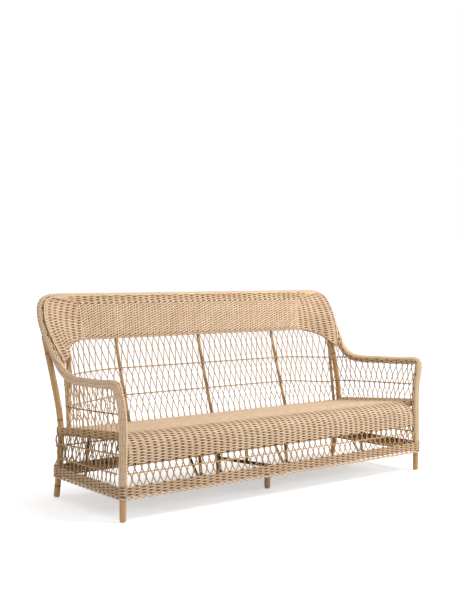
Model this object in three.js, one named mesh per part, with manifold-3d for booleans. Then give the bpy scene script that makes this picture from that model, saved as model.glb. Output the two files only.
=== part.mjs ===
import * as THREE from 'three';
import { mergeVertices } from 'three/addons/utils/BufferGeometryUtils.js';
import Module from 'manifold-3d';

// A garden sofa of bent rattan poles with a woven cane seat, back, arms and apron.
// Millimetres. The front faces -Y, +X is to the right seen from the front, the floor is Z = 0.
// Side pieces are shaped on the right and mirrored to the left.

const wasm = await Module();
wasm.setup();

// Overall size
const WIDTH = 1900;
const DEPTH = 770;
const HEIGHT = 937;

// Radii of poles and of the cane wound round them
const POLE_R = 14;
const WRAP_R = 19;
const RAIL_R = 11;
const BASE_R = 9;
const UPRIGHT_R = 8;
const STRUT_R = 7;
const BRACE_R = 6;

// Woven work: closed weave, open lattice, its strands and its rows
const SHEET = 8;
const NET = 6;
const STRAND = 7;
const ROW_HEIGHT = 9;
const PITCH = 48;
const LOW_PITCH = 60;
const ROW = 6;
const FURROW = 3;
const GAP = 0.3;
const SEAM = 0.6;

// Facets round a pole, round a glide, round the seat's nose and round an apron corner, and rings
// of a bent pole from one point of its route to the next
const POLE_SIDES = 8;
const RINGS = 3;
const GLIDE_SIDES = 12;
const NOSE_CELLS = 6;
const CORNER_CELLS = 4;

// Arm, legs and rear post: the front legs stand in from the sides, and the rear ones further in
const ARM_Z = 572;
const ARM_BEND = 40;
const FLARE = 130;
const LEG_INSET = 43;
const REAR_INSET = 22;
const KNEE_INSET = 20;
const KNEE_Z = 335;
const KNEE_BEND = 60;
const GLIDE_R = 12;
const GLIDE_H = 5;

// Apron round the legs
const APRON_LOW = 94;
const APRON_TOP = 150;
const ROLL_R = 6;
const BASE_Z = 118;

// Seat: the rear edge, the rounded nose and the skirt below it
const SEAT_CLEAR = 4;
const SEAT_REAR_Z = 317;
const NOSE_R = 81;
const NOSE_Z = 275;
const SKIRT_Z = 238;
const SKIRT_PROUD = 4;
const BAND = 28;

// Stretcher on the middle line: its height at the rear leg, and its radius
const STRETCHER_Z = 92;
const STRETCHER_R = 8.5;

// Places across as shares of the arm's half span, back as shares of the way from the front
// legs to the top rail, and up as shares of the way from the arm to the top rail
const BAY_SHARE = 0.54;
const FLAT_SHARE = 0.6445;
const BRACE_FOOT_SHARE = 0.0106;
const CENTRE_LEG_SHARE = 0.1914;
const BRACE_TOP_SHARE = 0.235;
const PROP_SHARE = 0.408;
const SIDE_STRUT_SHARE = 0.4122;
const REAR_CENTRE_FOOT_SHARE = 0.7075;
const KNEE_SHARE = 0.7516;
const BACK_FOOT_SHARE = 0.7861;
const REAR_FOOT_SHARE = 0.8303;
const WEAVE_BACK_SHARE = 0.9434;
const WEAVE_UP_SHARE = 0.4162;
const postTopShares = [0.9785, 0.9241, 0.549];

// Course of the bent rim, in the same shares: across, back and up
const wingShares = [
  [0.752, 1, 1],
  [0.875, 1, 1],
  [0.932, 0.993, 0.983],
  [0.968, 0.971, 0.925],
  [0.986, 0.941, 0.792],
  [0.989, 0.897, 0.61],
  [0.983, 0.843, 0.41],
  [0.973, 0.782, 0.223],
  [0.968, 0.715, 0.072],
  [0.97, 0.629, -0.015],
  [0.981, 0.537, -0.035],
];
const armShares = [
  [0.997, 0.375, -0.029],
  [1, 0.131, -0.012],
];

// Lower edge of the closed weave beside each point of the wing
const edgeShares = [
  [0.73, 0.941, 0.416],
  [0.789, 0.927, 0.408],
  [0.825, 0.905, 0.384],
  [0.849, 0.879, 0.358],
  [0.868, 0.85, 0.329],
  [0.888, 0.791, 0.24],
  [0.92, 0.771, 0.179],
];

// The end of that edge beside the rim: how much weave is left there, and how far down the rim
// it lies from the point of the wing's course that it belongs to
const WING_TIP = 4;
const WING_RUN = 39;

// The row of that table at the back corner, where the corner upright ends
const CORNER_ROW = 5;

// Where the lattice goes on under the rim as the closed weave runs out
const underRimShares = [
  [0.959, 0.706, 0.023],
  [0.9635, 0.65, -0.058],
];

// Foot of the lattice as it turns from the back into the arm: across and back only
const cornerFootShares = [
  [0.9055, 0.751],
  [0.933, 0.728],
  [0.951, 0.69],
  [0.963, 0.637],
  [0.97, 0.57],
  [0.974, 0.49],
  [0.976, 0.33],
  [0.979, 0.17],
];
const backRowShares = [0.275, 0.65];
const armRowShares = [0.5];
const sideRowShares = [0.22, 0.58];
const BAND_SHARE = 0.86;

// Turn of the arm down into the front leg: in, forward and down as shares of the bend
const armTurnShares = [
  [0, 1, 0],
  [0.1, 0.2, 0.25],
  [0.2, 0, 1],
];

// Where the uprights leave the lattice plane, between its top and the top rail
const UPRIGHT_BEND_SHARE = 0.1;

// Where the lattice of a corner bay has turned out of the flat, between the flat and the corner
const BAY_TURN_SHARE = 0.6;

// Direction from the lattice to the upright in each back corner, and from the middle of the
// seat's nose up to the rail inside it
const CORNER_TURN = Math.PI / 5;
const NOSE_RAIL_TURN = Math.PI / 12;

// How far a room reaches past the body it clears, as a share of its length
const OVERRUN_SHARE = 0.01;

// Axes that follow from the overall size
const ARM_X = WIDTH / 2 - WRAP_R;
const RAIL_Y = DEPTH / 2 - WRAP_R;
const RAIL_Z = HEIGHT - WRAP_R;
const APRON_OUT = POLE_R + GAP + SHEET / 2;
const ROLL_OUT = POLE_R + GAP + ROLL_R;
const FRONT_Y = -(DEPTH / 2 - ROLL_OUT - ROLL_R);
const BASE_OUT = POLE_R - BASE_R;
const SKIRT_Y = FRONT_Y - SKIRT_PROUD;
const NOSE_Y = SKIRT_Y + NOSE_R;
const POST_BACK_Y = FRONT_Y + WRAP_R + GAP;
const LEG_X = WIDTH / 2 - LEG_INSET;
const REAR_LEG_X = LEG_X - REAR_INSET;
const KNEE_X = LEG_X - KNEE_INSET;
const SEAT_HALF = LEG_X - WRAP_R - SEAT_CLEAR;
const BAY_X = BAY_SHARE * ARM_X;
const FLAT_X = FLAT_SHARE * ARM_X;

const backAt = (share) => FRONT_Y + share * (RAIL_Y - FRONT_Y);
const upAt = (share) => ARM_Z + share * (RAIL_Z - ARM_Z);
const REAR_FOOT_Y = backAt(REAR_FOOT_SHARE);
const KNEE_Y = backAt(KNEE_SHARE);
const BACK_FOOT_Y = backAt(BACK_FOOT_SHARE);
const WEAVE_Y = backAt(WEAVE_BACK_SHARE);
const WEAVE_Z = upAt(WEAVE_UP_SHARE);
const CENTRE_LEG_Y = backAt(CENTRE_LEG_SHARE);
const REAR_CENTRE_FOOT_Y = backAt(REAR_CENTRE_FOOT_SHARE);
const PROP_Y = backAt(PROP_SHARE);
const BRACE_TOP_Y = backAt(BRACE_TOP_SHARE);
const BRACE_FOOT_Y = backAt(BRACE_FOOT_SHARE);

// Each corner upright stands off the lattice's foot, and the seat's rear edge lies just behind it
const CORNER_SET = NET / 2 + GAP + UPRIGHT_R;
const CORNER_Y = backAt(cornerFootShares[0][1]) + CORNER_SET * Math.cos(CORNER_TURN);
const SEAT_REAR_Y = CORNER_Y + UPRIGHT_R + GAP + SEAT_CLEAR;

// A curve that is sampled evenly between its own points, so bends get most rings
class Route extends THREE.CatmullRomCurve3 {
  getUtoTmapping(u) {
    return u;
  }

  getPoint(t, target) {
    return super.getPoint(Math.min(Math.max(t, 0), 1), target);
  }
}

function at(x, y, z) {
  return new THREE.Vector3(x, y, z);
}

function spot([across, back, up]) {
  return at(across * ARM_X, backAt(back), upAt(up));
}

function between(a, b, share) {
  return a.clone().lerp(b, share);
}

// Solids: geometry to a closed body and back, cuts and mirror images

function solid(geometry) {
  const bare = geometry.clone();
  bare.deleteAttribute('normal');
  bare.deleteAttribute('uv');
  const merged = mergeVertices(bare);
  const vertProperties = new Float32Array(merged.attributes.position.array);
  const triVerts = new Uint32Array(merged.index.array);
  return new wasm.Manifold(new wasm.Mesh({ numProp: 3, vertProperties, triVerts }));
}

function cut(geometry, ...rooms) {
  let body = solid(geometry);
  for (const room of rooms) {
    body = body.subtract(solid(room));
  }
  const mesh = body.getMesh();
  const result = new THREE.BufferGeometry();
  result.setAttribute('position', new THREE.BufferAttribute(mesh.vertProperties, 3));
  result.setIndex(new THREE.BufferAttribute(mesh.triVerts, 1));
  return result;
}

function mirrored(geometry) {
  const copy = mergeVertices(cut(geometry)).scale(-1, 1, 1);
  const index = copy.index.array;
  for (let i = 0; i < index.length; i += 3) {
    [index[i], index[i + 1]] = [index[i + 1], index[i]];
  }
  return copy;
}

function surface(positions, index) {
  const geometry = new THREE.BufferGeometry();
  geometry.setAttribute('position', new THREE.Float32BufferAttribute(positions, 3));
  geometry.setIndex(index);
  return geometry;
}

// A pole of regular section along a route
function tube(route, radius, steps = 1, hole = 0) {
  const ring = (r) =>
    Array.from({ length: POLE_SIDES }, (_, i) => {
      const turn = ((i + 0.5) / POLE_SIDES) * Math.PI * 2;
      return new THREE.Vector2(r * Math.cos(turn), r * Math.sin(turn));
    });
  const shape = new THREE.Shape(ring(radius));
  if (hole > 0) {
    shape.holes.push(new THREE.Path(ring(hole)));
  }
  return new THREE.ExtrudeGeometry(shape, { extrudePath: route, steps });
}

function straight(a, b, radius) {
  return tube(new THREE.LineCurve3(a, b), radius);
}

// A thin solid on the surface place(u, v); open(i, j) leaves that cell as a gap, and the face
// that shows may have furrows of a given depth at every second line
function panel(place, us, vs, thickness, open = () => false, furrow = 0) {
  const STEP = 1e-3;
  const positions = [];
  for (const face of [0.5, -0.5]) {
    for (const u of us) {
      vs.forEach((v, j) => {
        const du = place(u + STEP, v).sub(place(u - STEP, v));
        const dv = place(u, v + STEP).sub(place(u, v - STEP));
        const out = du.cross(dv).normalize();
        const sunk = face < 0 && j % 2 === 1 ? furrow : 0;
        positions.push(...place(u, v).addScaledVector(out, face * thickness + sunk));
      });
    }
  }
  const layer = us.length * vs.length;
  const corner = (i, j) => i * vs.length + j;
  const filled = (i, j) => i >= 0 && j >= 0 && i < us.length - 1 && j < vs.length - 1 && !open(i, j);
  const index = [];
  for (let i = 0; i < us.length - 1; i++) {
    for (let j = 0; j < vs.length - 1; j++) {
      if (!filled(i, j)) continue;
      const loop = [corner(i, j), corner(i + 1, j), corner(i + 1, j + 1), corner(i, j + 1)];
      const [a, b, c, d] = loop;
      index.push(a, b, c, a, c, d);
      index.push(layer + a, layer + c, layer + b, layer + a, layer + d, layer + c);
      const beyond = [filled(i, j - 1), filled(i + 1, j), filled(i, j + 1), filled(i - 1, j)];
      beyond.forEach((joined, k) => {
        const p = loop[k];
        const q = loop[(k + 1) % 4];
        if (!joined) index.push(q, p, layer + p, q, layer + p, layer + q);
      });
    }
  }
  return surface(positions, index);
}

function evenly(cells) {
  return Array.from({ length: cells + 1 }, (_, i) => i / cells);
}

// Lines a row of the weave apart along a section, an even number of rows in all
function rowLines(length) {
  return evenly(2 * Math.round(length / ROW / 2));
}

const closed = () => false;

// Strand edges along a lattice of the given length, and row edges up its height
function strands(length, pitch) {
  const count = Math.max(1, Math.round((length - STRAND) / pitch));
  const step = (length - STRAND) / count;
  return Array.from({ length: count + 1 }, (_, i) => [i * step, i * step + STRAND])
    .flat()
    .map((distance) => distance / length);
}

function rows(height, shares, topBorder = ROW_HEIGHT) {
  const middles = shares.flatMap((share) => [share - ROW_HEIGHT / 2 / height, share + ROW_HEIGHT / 2 / height]);
  return [0, ROW_HEIGHT / height, ...middles, 1 - topBorder / height, 1];
}

const meshes = (i, j) => i % 2 === 1 && j % 2 === 1;

// Parts of the assembly

const sofa = new THREE.Group();

function add(name, finish, geometry) {
  const clean = cut(geometry);
  clean.computeVertexNormals();
  const mesh = new THREE.Mesh(clean, finish());
  mesh.name = name;
  sofa.add(mesh);
}

function addPair(name, finish, geometry) {
  add(`${name}_right`, finish, geometry);
  add(`${name}_left`, finish, mirrored(geometry));
}

const cane = () => new THREE.MeshStandardMaterial({ color: '#c39a6b', roughness: 0.45, metalness: 0 });
const wound = () => new THREE.MeshStandardMaterial({ color: '#cfa97e', roughness: 0.5, metalness: 0 });
const woven = () => new THREE.MeshStandardMaterial({ color: '#d8b68f', roughness: 0.6, metalness: 0 });
const lattice = () => new THREE.MeshStandardMaterial({ color: '#c8a177', roughness: 0.6, metalness: 0 });
const plastic = () => new THREE.MeshStandardMaterial({ color: '#d9d6cf', roughness: 0.5, metalness: 0 });

// Height of the seat's straight line at a given depth, carried on past the nose
const toNose = Math.hypot(SEAT_REAR_Y - NOSE_Y, SEAT_REAR_Z - NOSE_Z);
const fall = Math.atan2(NOSE_Z - SEAT_REAR_Z, SEAT_REAR_Y - NOSE_Y);
const seatAngle = fall + Math.asin(NOSE_R / toNose);

function seatZ(y) {
  return SEAT_REAR_Z + (SEAT_REAR_Y - y) * Math.tan(seatAngle);
}

// Everything that stands on the floor is cut level just above its glide
const floorRoom = new THREE.BoxGeometry(WIDTH, DEPTH, HEIGHT);
floorRoom.translate(0, 0, GLIDE_H + GAP - HEIGHT / 2);

// Bent rim: the top rail with its wings, then an arm pole that turns down into the front leg

const wing = wingShares.map(spot);
const splice = wing.at(-1);
const beforeSplice = wing.at(-2);
const arm = armShares.map(spot);
const rimHalf = [...wing, arm[0]];
const rimRoute = new Route([...rimHalf.map((p) => at(-p.x, p.y, p.z)).reverse(), ...rimHalf]);
const rimSteps = 2 * (2 * rimHalf.length - 1);

// The rim and the arm pole meet end to end at the splice
const spliceAlong = arm[0].clone().sub(beforeSplice).normalize();
const spliceSpan = arm[0].distanceTo(beforeSplice);
const fromSplice = (distance) => splice.clone().addScaledVector(spliceAlong, distance);
const pastSplice = straight(fromSplice(-GAP / 2), fromSplice(spliceSpan), 3 * WRAP_R);
const toSplice = straight(fromSplice(-spliceSpan), fromSplice(GAP / 2), 3 * WRAP_R);
const rimEnds = [pastSplice, mirrored(pastSplice)];
const topRail = cut(tube(rimRoute, POLE_R, rimSteps), ...rimEnds);
const rimWrap = cut(tube(rimRoute, WRAP_R, rimSteps, POLE_R + GAP), ...rimEnds);
const rimRoom = tube(rimRoute, WRAP_R + GAP, rimSteps);

const armPoints = [
  beforeSplice,
  splice,
  ...arm,
  ...armTurnShares.map(([x, y, z]) => at(ARM_X - x * ARM_BEND, FRONT_Y + y * ARM_BEND, ARM_Z - z * ARM_BEND)),
  at(LEG_X, FRONT_Y, ARM_Z - FLARE),
  at(LEG_X, FRONT_Y, APRON_TOP),
  at(LEG_X, FRONT_Y, 0),
];
const armRoute = new Route(armPoints);
const armSteps = RINGS * (armPoints.length - 1);
const belowApronTop = new THREE.BoxGeometry(4 * WRAP_R, 4 * WRAP_R, 2 * APRON_TOP);
belowApronTop.translate(LEG_X, FRONT_Y, GAP);

const armPole = cut(tube(armRoute, POLE_R, armSteps), floorRoom, toSplice);
const armWrap = cut(tube(armRoute, WRAP_R, armSteps, POLE_R + GAP), belowApronTop, toSplice);
const armRoom = tube(armRoute, WRAP_R + GAP, armSteps);
const frontLegRoom = tube(armRoute, POLE_R + GAP, armSteps);

add('top_rail', cane, topRail);
add('top_rail_wrap', wound, rimWrap);
addPair('arm_pole', cane, armPole);
addPair('arm_wrap', wound, armWrap);

// Rear posts: a splayed leg up to the seat, then leaning back to the rim

const rearFoot = at(REAR_LEG_X, REAR_FOOT_Y, 0);
const knee = at(KNEE_X, KNEE_Y, KNEE_Z);
const postTop = spot(postTopShares);
const postPoints = [
  rearFoot,
  between(knee, rearFoot, KNEE_BEND / knee.distanceTo(rearFoot)),
  between(knee, postTop, KNEE_BEND / knee.distanceTo(postTop)),
  postTop,
];
const postRoute = new Route(postPoints);
const postSteps = 2 * (postPoints.length - 1);
const rearPost = cut(tube(postRoute, POLE_R, postSteps), floorRoom, rimRoom);
const postRoom = tube(postRoute, POLE_R + GAP, postSteps);
addPair('rear_post', cane, rearPost);

// Seat sheet: straight from the rear edge to the nose, round it and down the skirt

const noseTurns = evenly(NOSE_CELLS).map((share) => seatAngle + share * (Math.PI / 2 - seatAngle));
const seatProfile = [
  at(0, SEAT_REAR_Y, SEAT_REAR_Z),
  ...noseTurns.map((turn) => at(0, NOSE_Y - NOSE_R * Math.sin(turn), NOSE_Z + NOSE_R * Math.cos(turn))),
  at(0, SKIRT_Y, SKIRT_Z),
];

function seatPlace(u, v) {
  const cell = Math.min(Math.max(Math.floor(v), 0), seatProfile.length - 2);
  const point = between(seatProfile[cell], seatProfile[cell + 1], v - cell);
  point.x = (2 * u - 1) * SEAT_HALF;
  return point;
}

const bothSides = (room) => [room, mirrored(room)];
const seatLines = seatProfile.slice(1).flatMap((point, i) => {
  const lines = rowLines(point.distanceTo(seatProfile[i]));
  return lines.slice(i > 0 ? 1 : 0).map((share) => i + share);
});
const seatSheet = panel(seatPlace, [0, 1], seatLines, SHEET, closed, FURROW);

// Uprights behind the lattice, from below the seat to the top rail

const lean = (WEAVE_Y - BACK_FOOT_Y) / (WEAVE_Z - seatZ(BACK_FOOT_Y) - BAND / 2);
const latticeFootZ = seatZ(BACK_FOOT_Y) + BAND / 2 + GAP;
const uprightSet = (NET / 2 + GAP + UPRIGHT_R) * Math.hypot(1, lean);

function uprightY(z) {
  return BACK_FOOT_Y + uprightSet + lean * (z - latticeFootZ);
}

const rearRailZ = seatZ(SEAT_REAR_Y - RAIL_R) - SHEET / 2 - SEAM - RAIL_R;
const rearRailY = uprightY(rearRailZ) - (UPRIGHT_R + RAIL_R) * Math.hypot(1, lean) - SEAM;
const uprightFootZ = rearRailZ - 2 * RAIL_R;
const uprightBendZ = WEAVE_Z + UPRIGHT_BEND_SHARE * (RAIL_Z - WEAVE_Z);

function upright(x) {
  const points = [
    at(x, uprightY(uprightFootZ), uprightFootZ),
    at(x, uprightY(uprightBendZ), uprightBendZ),
    at(x, RAIL_Y, RAIL_Z),
  ];
  return tube(new Route(points), UPRIGHT_R, RINGS * (points.length - 1));
}

const uprightRoom = (x) => {
  const foot = at(x, uprightY(uprightFootZ), uprightFootZ);
  return straight(foot, at(x, uprightY(KNEE_Z), KNEE_Z), UPRIGHT_R + GAP);
};

add('back_upright_centre', cane, cut(upright(0), rimRoom));
addPair('back_upright', cane, cut(upright(BAY_X), rimRoom));

// Rails that carry the seat

const rearRailEnd = at(KNEE_X - RAIL_R / 2, rearRailY, rearRailZ);
const noseRailR = NOSE_R - SHEET / 2 - SEAM - RAIL_R;
const noseRailY = NOSE_Y - noseRailR * Math.sin(NOSE_RAIL_TURN);
const noseRailZ = NOSE_Z + noseRailR * Math.cos(NOSE_RAIL_TURN);
const skirtRailY = SKIRT_Y + SHEET / 2 + GAP + RAIL_R;
const skirtRailZ = SKIRT_Z + RAIL_R + GAP;
const sideRailX = LEG_X - RAIL_R;
const sideRailZ = (y) => seatZ(y) - SHEET / 2 - GAP - RAIL_R;
const sideFront = at(sideRailX, FRONT_Y, sideRailZ(FRONT_Y));
const sideRear = at(KNEE_X, KNEE_Y, sideRailZ(KNEE_Y));

const across = (y, z, half, radius) => straight(at(-half, y, z), at(half, y, z), radius);
const sideRoom = straight(sideFront, sideRear, RAIL_R + GAP);
const rearRailRoom = across(rearRailY, rearRailZ, rearRailEnd.x, RAIL_R + GAP);
const noseRailRoom = across(noseRailY, noseRailZ, sideRailX, RAIL_R + GAP);
const skirtRailRoom = across(skirtRailY, skirtRailZ, LEG_X, RAIL_R + GAP);

const rearRail = across(rearRailY, rearRailZ, rearRailEnd.x, RAIL_R);
const noseRail = across(noseRailY, noseRailZ, sideRailX - RAIL_R / 2, RAIL_R);
const skirtRail = across(skirtRailY, skirtRailZ, LEG_X - WRAP_R + STRUT_R, RAIL_R);

add('seat_rail_rear', cane, cut(rearRail, ...bothSides(postRoom)));
add('seat_rail_nose', cane, cut(noseRail, ...bothSides(sideRoom)));
add('seat_rail_skirt', cane, cut(skirtRail, ...bothSides(armRoom)));
addPair('seat_rail_side', cane, cut(straight(sideFront, sideRear, RAIL_R), armRoom, postRoom, rearRailRoom));

// Ribs under the seat sheet

const ribFront = (x) => at(x, noseRailY, noseRailZ);
const ribRear = (x) => at(x, rearRailY, rearRailZ);
const rib = (x, radius) => straight(ribFront(x), ribRear(x), radius);
const ribHeight = (y) => noseRailZ + ((rearRailZ - noseRailZ) * (y - noseRailY)) / (rearRailY - noseRailY);

add('seat_rib_centre', cane, cut(rib(0, BASE_R), noseRailRoom, rearRailRoom));
addPair('seat_rib', cane, cut(rib(BAY_X, BASE_R), noseRailRoom, rearRailRoom));

// Base rails between the legs, flush with their outer sides

const legTilt = (z) => REAR_FOOT_Y + ((KNEE_Y - REAR_FOOT_Y) * z) / KNEE_Z;
const baseFrontY = FRONT_Y - BASE_OUT;
const baseRearY = legTilt(BASE_Z) + BASE_OUT;
const baseFront = across(baseFrontY, BASE_Z, LEG_X, BASE_R);
const baseRear = across(baseRearY, BASE_Z, REAR_LEG_X, BASE_R);
const baseSideEnds = [
  at(LEG_X + BASE_OUT, FRONT_Y, BASE_Z),
  at(REAR_LEG_X + BASE_OUT, legTilt(BASE_Z), BASE_Z),
];

add('base_rail_front', cane, cut(baseFront, ...bothSides(frontLegRoom)));
add('base_rail_rear', cane, cut(baseRear, ...bothSides(postRoom)));
addPair('base_rail_side', cane, cut(straight(...baseSideEnds, BASE_R), frontLegRoom, postRoom));

// Legs, stretcher and prop on the middle line: the stretcher runs from the rear leg to the
// front base rail, and the short front leg carries it from below

const baseFrontRoom = across(baseFrontY, BASE_Z, LEG_X, BASE_R + GAP);
const rearCentreEnds = [at(0, REAR_CENTRE_FOOT_Y, 0), at(0, rearRailY, rearRailZ)];
const ribRoom = rib(0, BASE_R + GAP);
const stretcherEnds = [at(0, baseFrontY, BASE_Z), between(...rearCentreEnds, STRETCHER_Z / rearRailZ)];
const stretcherLength = stretcherEnds[1].y - baseFrontY;
const onStretcher = (y) => between(...stretcherEnds, (y - baseFrontY) / stretcherLength);
const frontCentreEnds = [at(0, CENTRE_LEG_Y, 0), onStretcher(CENTRE_LEG_Y)];
const propEnds = [onStretcher(PROP_Y), at(0, PROP_Y, ribHeight(PROP_Y))];
const rearCentreRoom = straight(...rearCentreEnds, POLE_R + GAP);
const stretcherRoom = straight(...stretcherEnds, STRETCHER_R + GAP);

const frontCentreLeg = cut(straight(...frontCentreEnds, POLE_R), floorRoom, stretcherRoom);
const underSeatRooms = [rearRailRoom, uprightRoom(0), ribRoom];
const rearCentreLeg = cut(straight(...rearCentreEnds, POLE_R), floorRoom, ...underSeatRooms);
add('front_centre_leg', cane, frontCentreLeg);
add('rear_centre_leg', cane, rearCentreLeg);
add('centre_stretcher', cane, cut(straight(...stretcherEnds, STRETCHER_R), baseFrontRoom, rearCentreRoom));
add('seat_prop', cane, cut(straight(...propEnds, UPRIGHT_R), ribRoom, stretcherRoom));

// Struts and braces behind the front lattice, and a strut in each side

const strut = (x) => straight(at(x, baseFrontY, BASE_Z), at(x, skirtRailY, skirtRailZ), STRUT_R);
const strutRooms = [baseFrontRoom, skirtRailRoom];
add('front_strut_centre', cane, cut(strut(0), ...strutRooms, stretcherRoom));
addPair('front_strut', cane, cut(strut(BAY_X), ...strutRooms));

const braceTop = (x) => at(x, BRACE_TOP_Y, ribHeight(BRACE_TOP_Y));
const braceFoot = (x) => at(x, BRACE_FOOT_Y, BASE_Z);
const brace = (x) => straight(braceFoot(x), braceTop(x), BRACE_R);
add('seat_brace_centre', cane, cut(brace(0), baseFrontRoom, stretcherRoom, ribRoom));
addPair('seat_brace', cane, cut(brace(BAY_X), baseFrontRoom, rib(BAY_X, BASE_R + GAP)));

const sideShare = (backAt(SIDE_STRUT_SHARE) - FRONT_Y) / (KNEE_Y - FRONT_Y);
const sideStrutEnds = [between(...baseSideEnds, sideShare), between(sideFront, sideRear, sideShare)];
const baseSideRoom = straight(...baseSideEnds, BASE_R + GAP);
addPair('side_strut', cane, cut(straight(...sideStrutEnds, STRUT_R), baseSideRoom, sideRoom));

// Glides under the legs

function glide(x, y) {
  const disc = new THREE.CylinderGeometry(GLIDE_R, GLIDE_R, GLIDE_H, GLIDE_SIDES);
  return disc.rotateX(Math.PI / 2).translate(x, y, GLIDE_H / 2);
}

addPair('front_glide', plastic, glide(LEG_X, FRONT_Y));
addPair('rear_glide', plastic, glide(REAR_LEG_X, legTilt(GLIDE_H)));
add('front_centre_glide', plastic, glide(0, CENTRE_LEG_Y));
add('rear_centre_glide', plastic, glide(0, REAR_CENTRE_FOOT_Y));

// Lower edge of the closed weave, from the flat back to its end beside the rim

const TOUCH = WRAP_R + GAP + SHEET / 2;
const acrossFrom = (vector, along) => vector.addScaledVector(along, -vector.dot(along));
const wingAlong = wing.map((_, i) => rimRoute.getTangent((rimHalf.length + i) / (2 * rimHalf.length - 1)));
const edgeRows = edgeShares.map(spot);
const wingEnd = wing[edgeRows.length];
const endAlong = wingAlong[edgeRows.length];
const endInward = acrossFrom(edgeRows.at(-1).clone().sub(wingEnd), endAlong).setLength(TOUCH + WING_TIP);
const edge = [...edgeRows, wingEnd.clone().add(endInward).addScaledVector(endAlong, WING_RUN)];

// Seat sheet, with its corners cut clear of the poles

const latticeFoot = (y) => seatZ(y) + BAND / 2 + GAP + SEAM;
const cornerOut = at(Math.sin(CORNER_TURN), Math.cos(CORNER_TURN), 0);
const cornerTop = edge[CORNER_ROW].clone();

function foot([shareAcross, shareBack]) {
  const point = spot([shareAcross, shareBack, 0]);
  return point.setZ(latticeFoot(point.y));
}

const cornerFoot = foot(cornerFootShares[0]);
const cornerUprightEnds = [
  cornerFoot.clone().addScaledVector(cornerOut, CORNER_SET).setZ(rearRailZ),
  cornerTop.clone().addScaledVector(cornerOut, CORNER_SET),
];
const cornerRoom = straight(...cornerUprightEnds, UPRIGHT_R + GAP);
add('seat_weave', woven, cut(seatSheet, ...bothSides(cornerRoom), ...bothSides(postRoom)));

// Closed weave of the back, from the lattice up to the rim, which it touches from the front

function touch(rimPoint, along, edgePoint) {
  const inward = acrossFrom(edgePoint.clone().sub(rimPoint), along);
  const sine = TOUCH / inward.length();
  inward.normalize();
  const front = inward.clone().cross(along).normalize();
  return rimPoint
    .clone()
    .addScaledVector(front, TOUCH * Math.sqrt(1 - sine * sine))
    .addScaledVector(inward, TOUCH * sine);
}

const backEdge = at(FLAT_X, WEAVE_Y, WEAVE_Z + SEAM);
const backTouch = touch(at(FLAT_X, RAIL_Y, RAIL_Z), at(1, 0, 0), backEdge);

function backPlace(u, v) {
  const point = between(backEdge, backTouch, v);
  point.x = (1 - 2 * u) * (FLAT_X - GAP / 2);
  return point;
}

const backWeaveLines = rowLines(backEdge.distanceTo(backTouch));
add('back_weave', woven, panel(backPlace, [0, 1], backWeaveLines, SHEET, closed, FURROW));

const wingCount = edge.length;
const wingTouch = edge.map((point, i) => touch(wing[i], wingAlong[i], point));
const lift = (point) => point.clone().setZ(point.z + SEAM);
const edgeRoute = new Route([backEdge.clone().setX(FLAT_X + GAP / 2), ...edge.map(lift)]);
const touchRoute = new Route([backTouch.clone().setX(FLAT_X + GAP / 2), ...wingTouch]);
const wingPlace = (u, v) => between(edgeRoute.getPoint(1 - u), touchRoute.getPoint(1 - u), v);
const wingLines = evenly(2 * wingCount);
const wingSheet = cut(panel(wingPlace, wingLines, [0, 0.5, 1], SHEET), rimRoom);

// The same surface carried straight on a little past its first end
function wingPast(u, v) {
  const point = wingPlace(u, v);
  const end = between(wingPlace(0, v), wingPlace(1 / wingCount, v), u * wingCount);
  return u < 0 ? end : point;
}

const wingRoom = panel(wingPast, [-OVERRUN_SHARE, ...wingLines], [-OVERRUN_SHARE, 0.5, 1], SHEET + 2 * GAP);
addPair('wing_weave', woven, wingSheet);
const cornerUpright = straight(...cornerUprightEnds, UPRIGHT_R);
addPair('corner_upright', cane, cut(cornerUpright, rearRailRoom, postRoom, wingRoom));

// Open lattice of the back: a wide flat net and one at each corner

const backFoot = at(BAY_X, BACK_FOOT_Y, latticeFootZ);
const backHead = at(BAY_X, WEAVE_Y - lean * GAP, WEAVE_Z - GAP);
const backHeight = backFoot.distanceTo(backHead);

function netPlace(u, v) {
  const point = between(backFoot, backHead, v);
  point.x = (1 - 2 * u) * (BAY_X - GAP / 2);
  return point;
}

const backLines = strands(2 * BAY_X, PITCH);
add('back_lattice', lattice, panel(netPlace, backLines, rows(backHeight, backRowShares), NET, meshes));

const flatFoot = backFoot.clone().setX(FLAT_X);
const bayFeet = [backFoot, flatFoot, between(flatFoot, cornerFoot, BAY_TURN_SHARE), cornerFoot];
const bayHeads = [backHead, at(FLAT_X, backHead.y, backHead.z), ...edge.slice(0, CORNER_ROW + 1)];
const bayFootRoute = new Route(bayFeet);
const bayHeadRoute = new THREE.CatmullRomCurve3(bayHeads);
const cornerMargin = 1 - STRAND / 2 / cornerFoot.distanceTo(backFoot);
const bayPlace = (u, v) => {
  const share = (1 - u) * cornerMargin;
  return between(bayFootRoute.getPoint(share), bayHeadRoute.getPointAt(Math.min(Math.max(share, 0), 1)), v);
};
const bayLines = strands(cornerFoot.distanceTo(backFoot), PITCH);
const bayNet = panel(bayPlace, bayLines, rows(backHeight, backRowShares), NET, meshes);
addPair('back_corner_lattice', lattice, cut(bayNet, wingRoom, cornerRoom));

// Open lattice under each arm, from the corner upright to the front post

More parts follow.
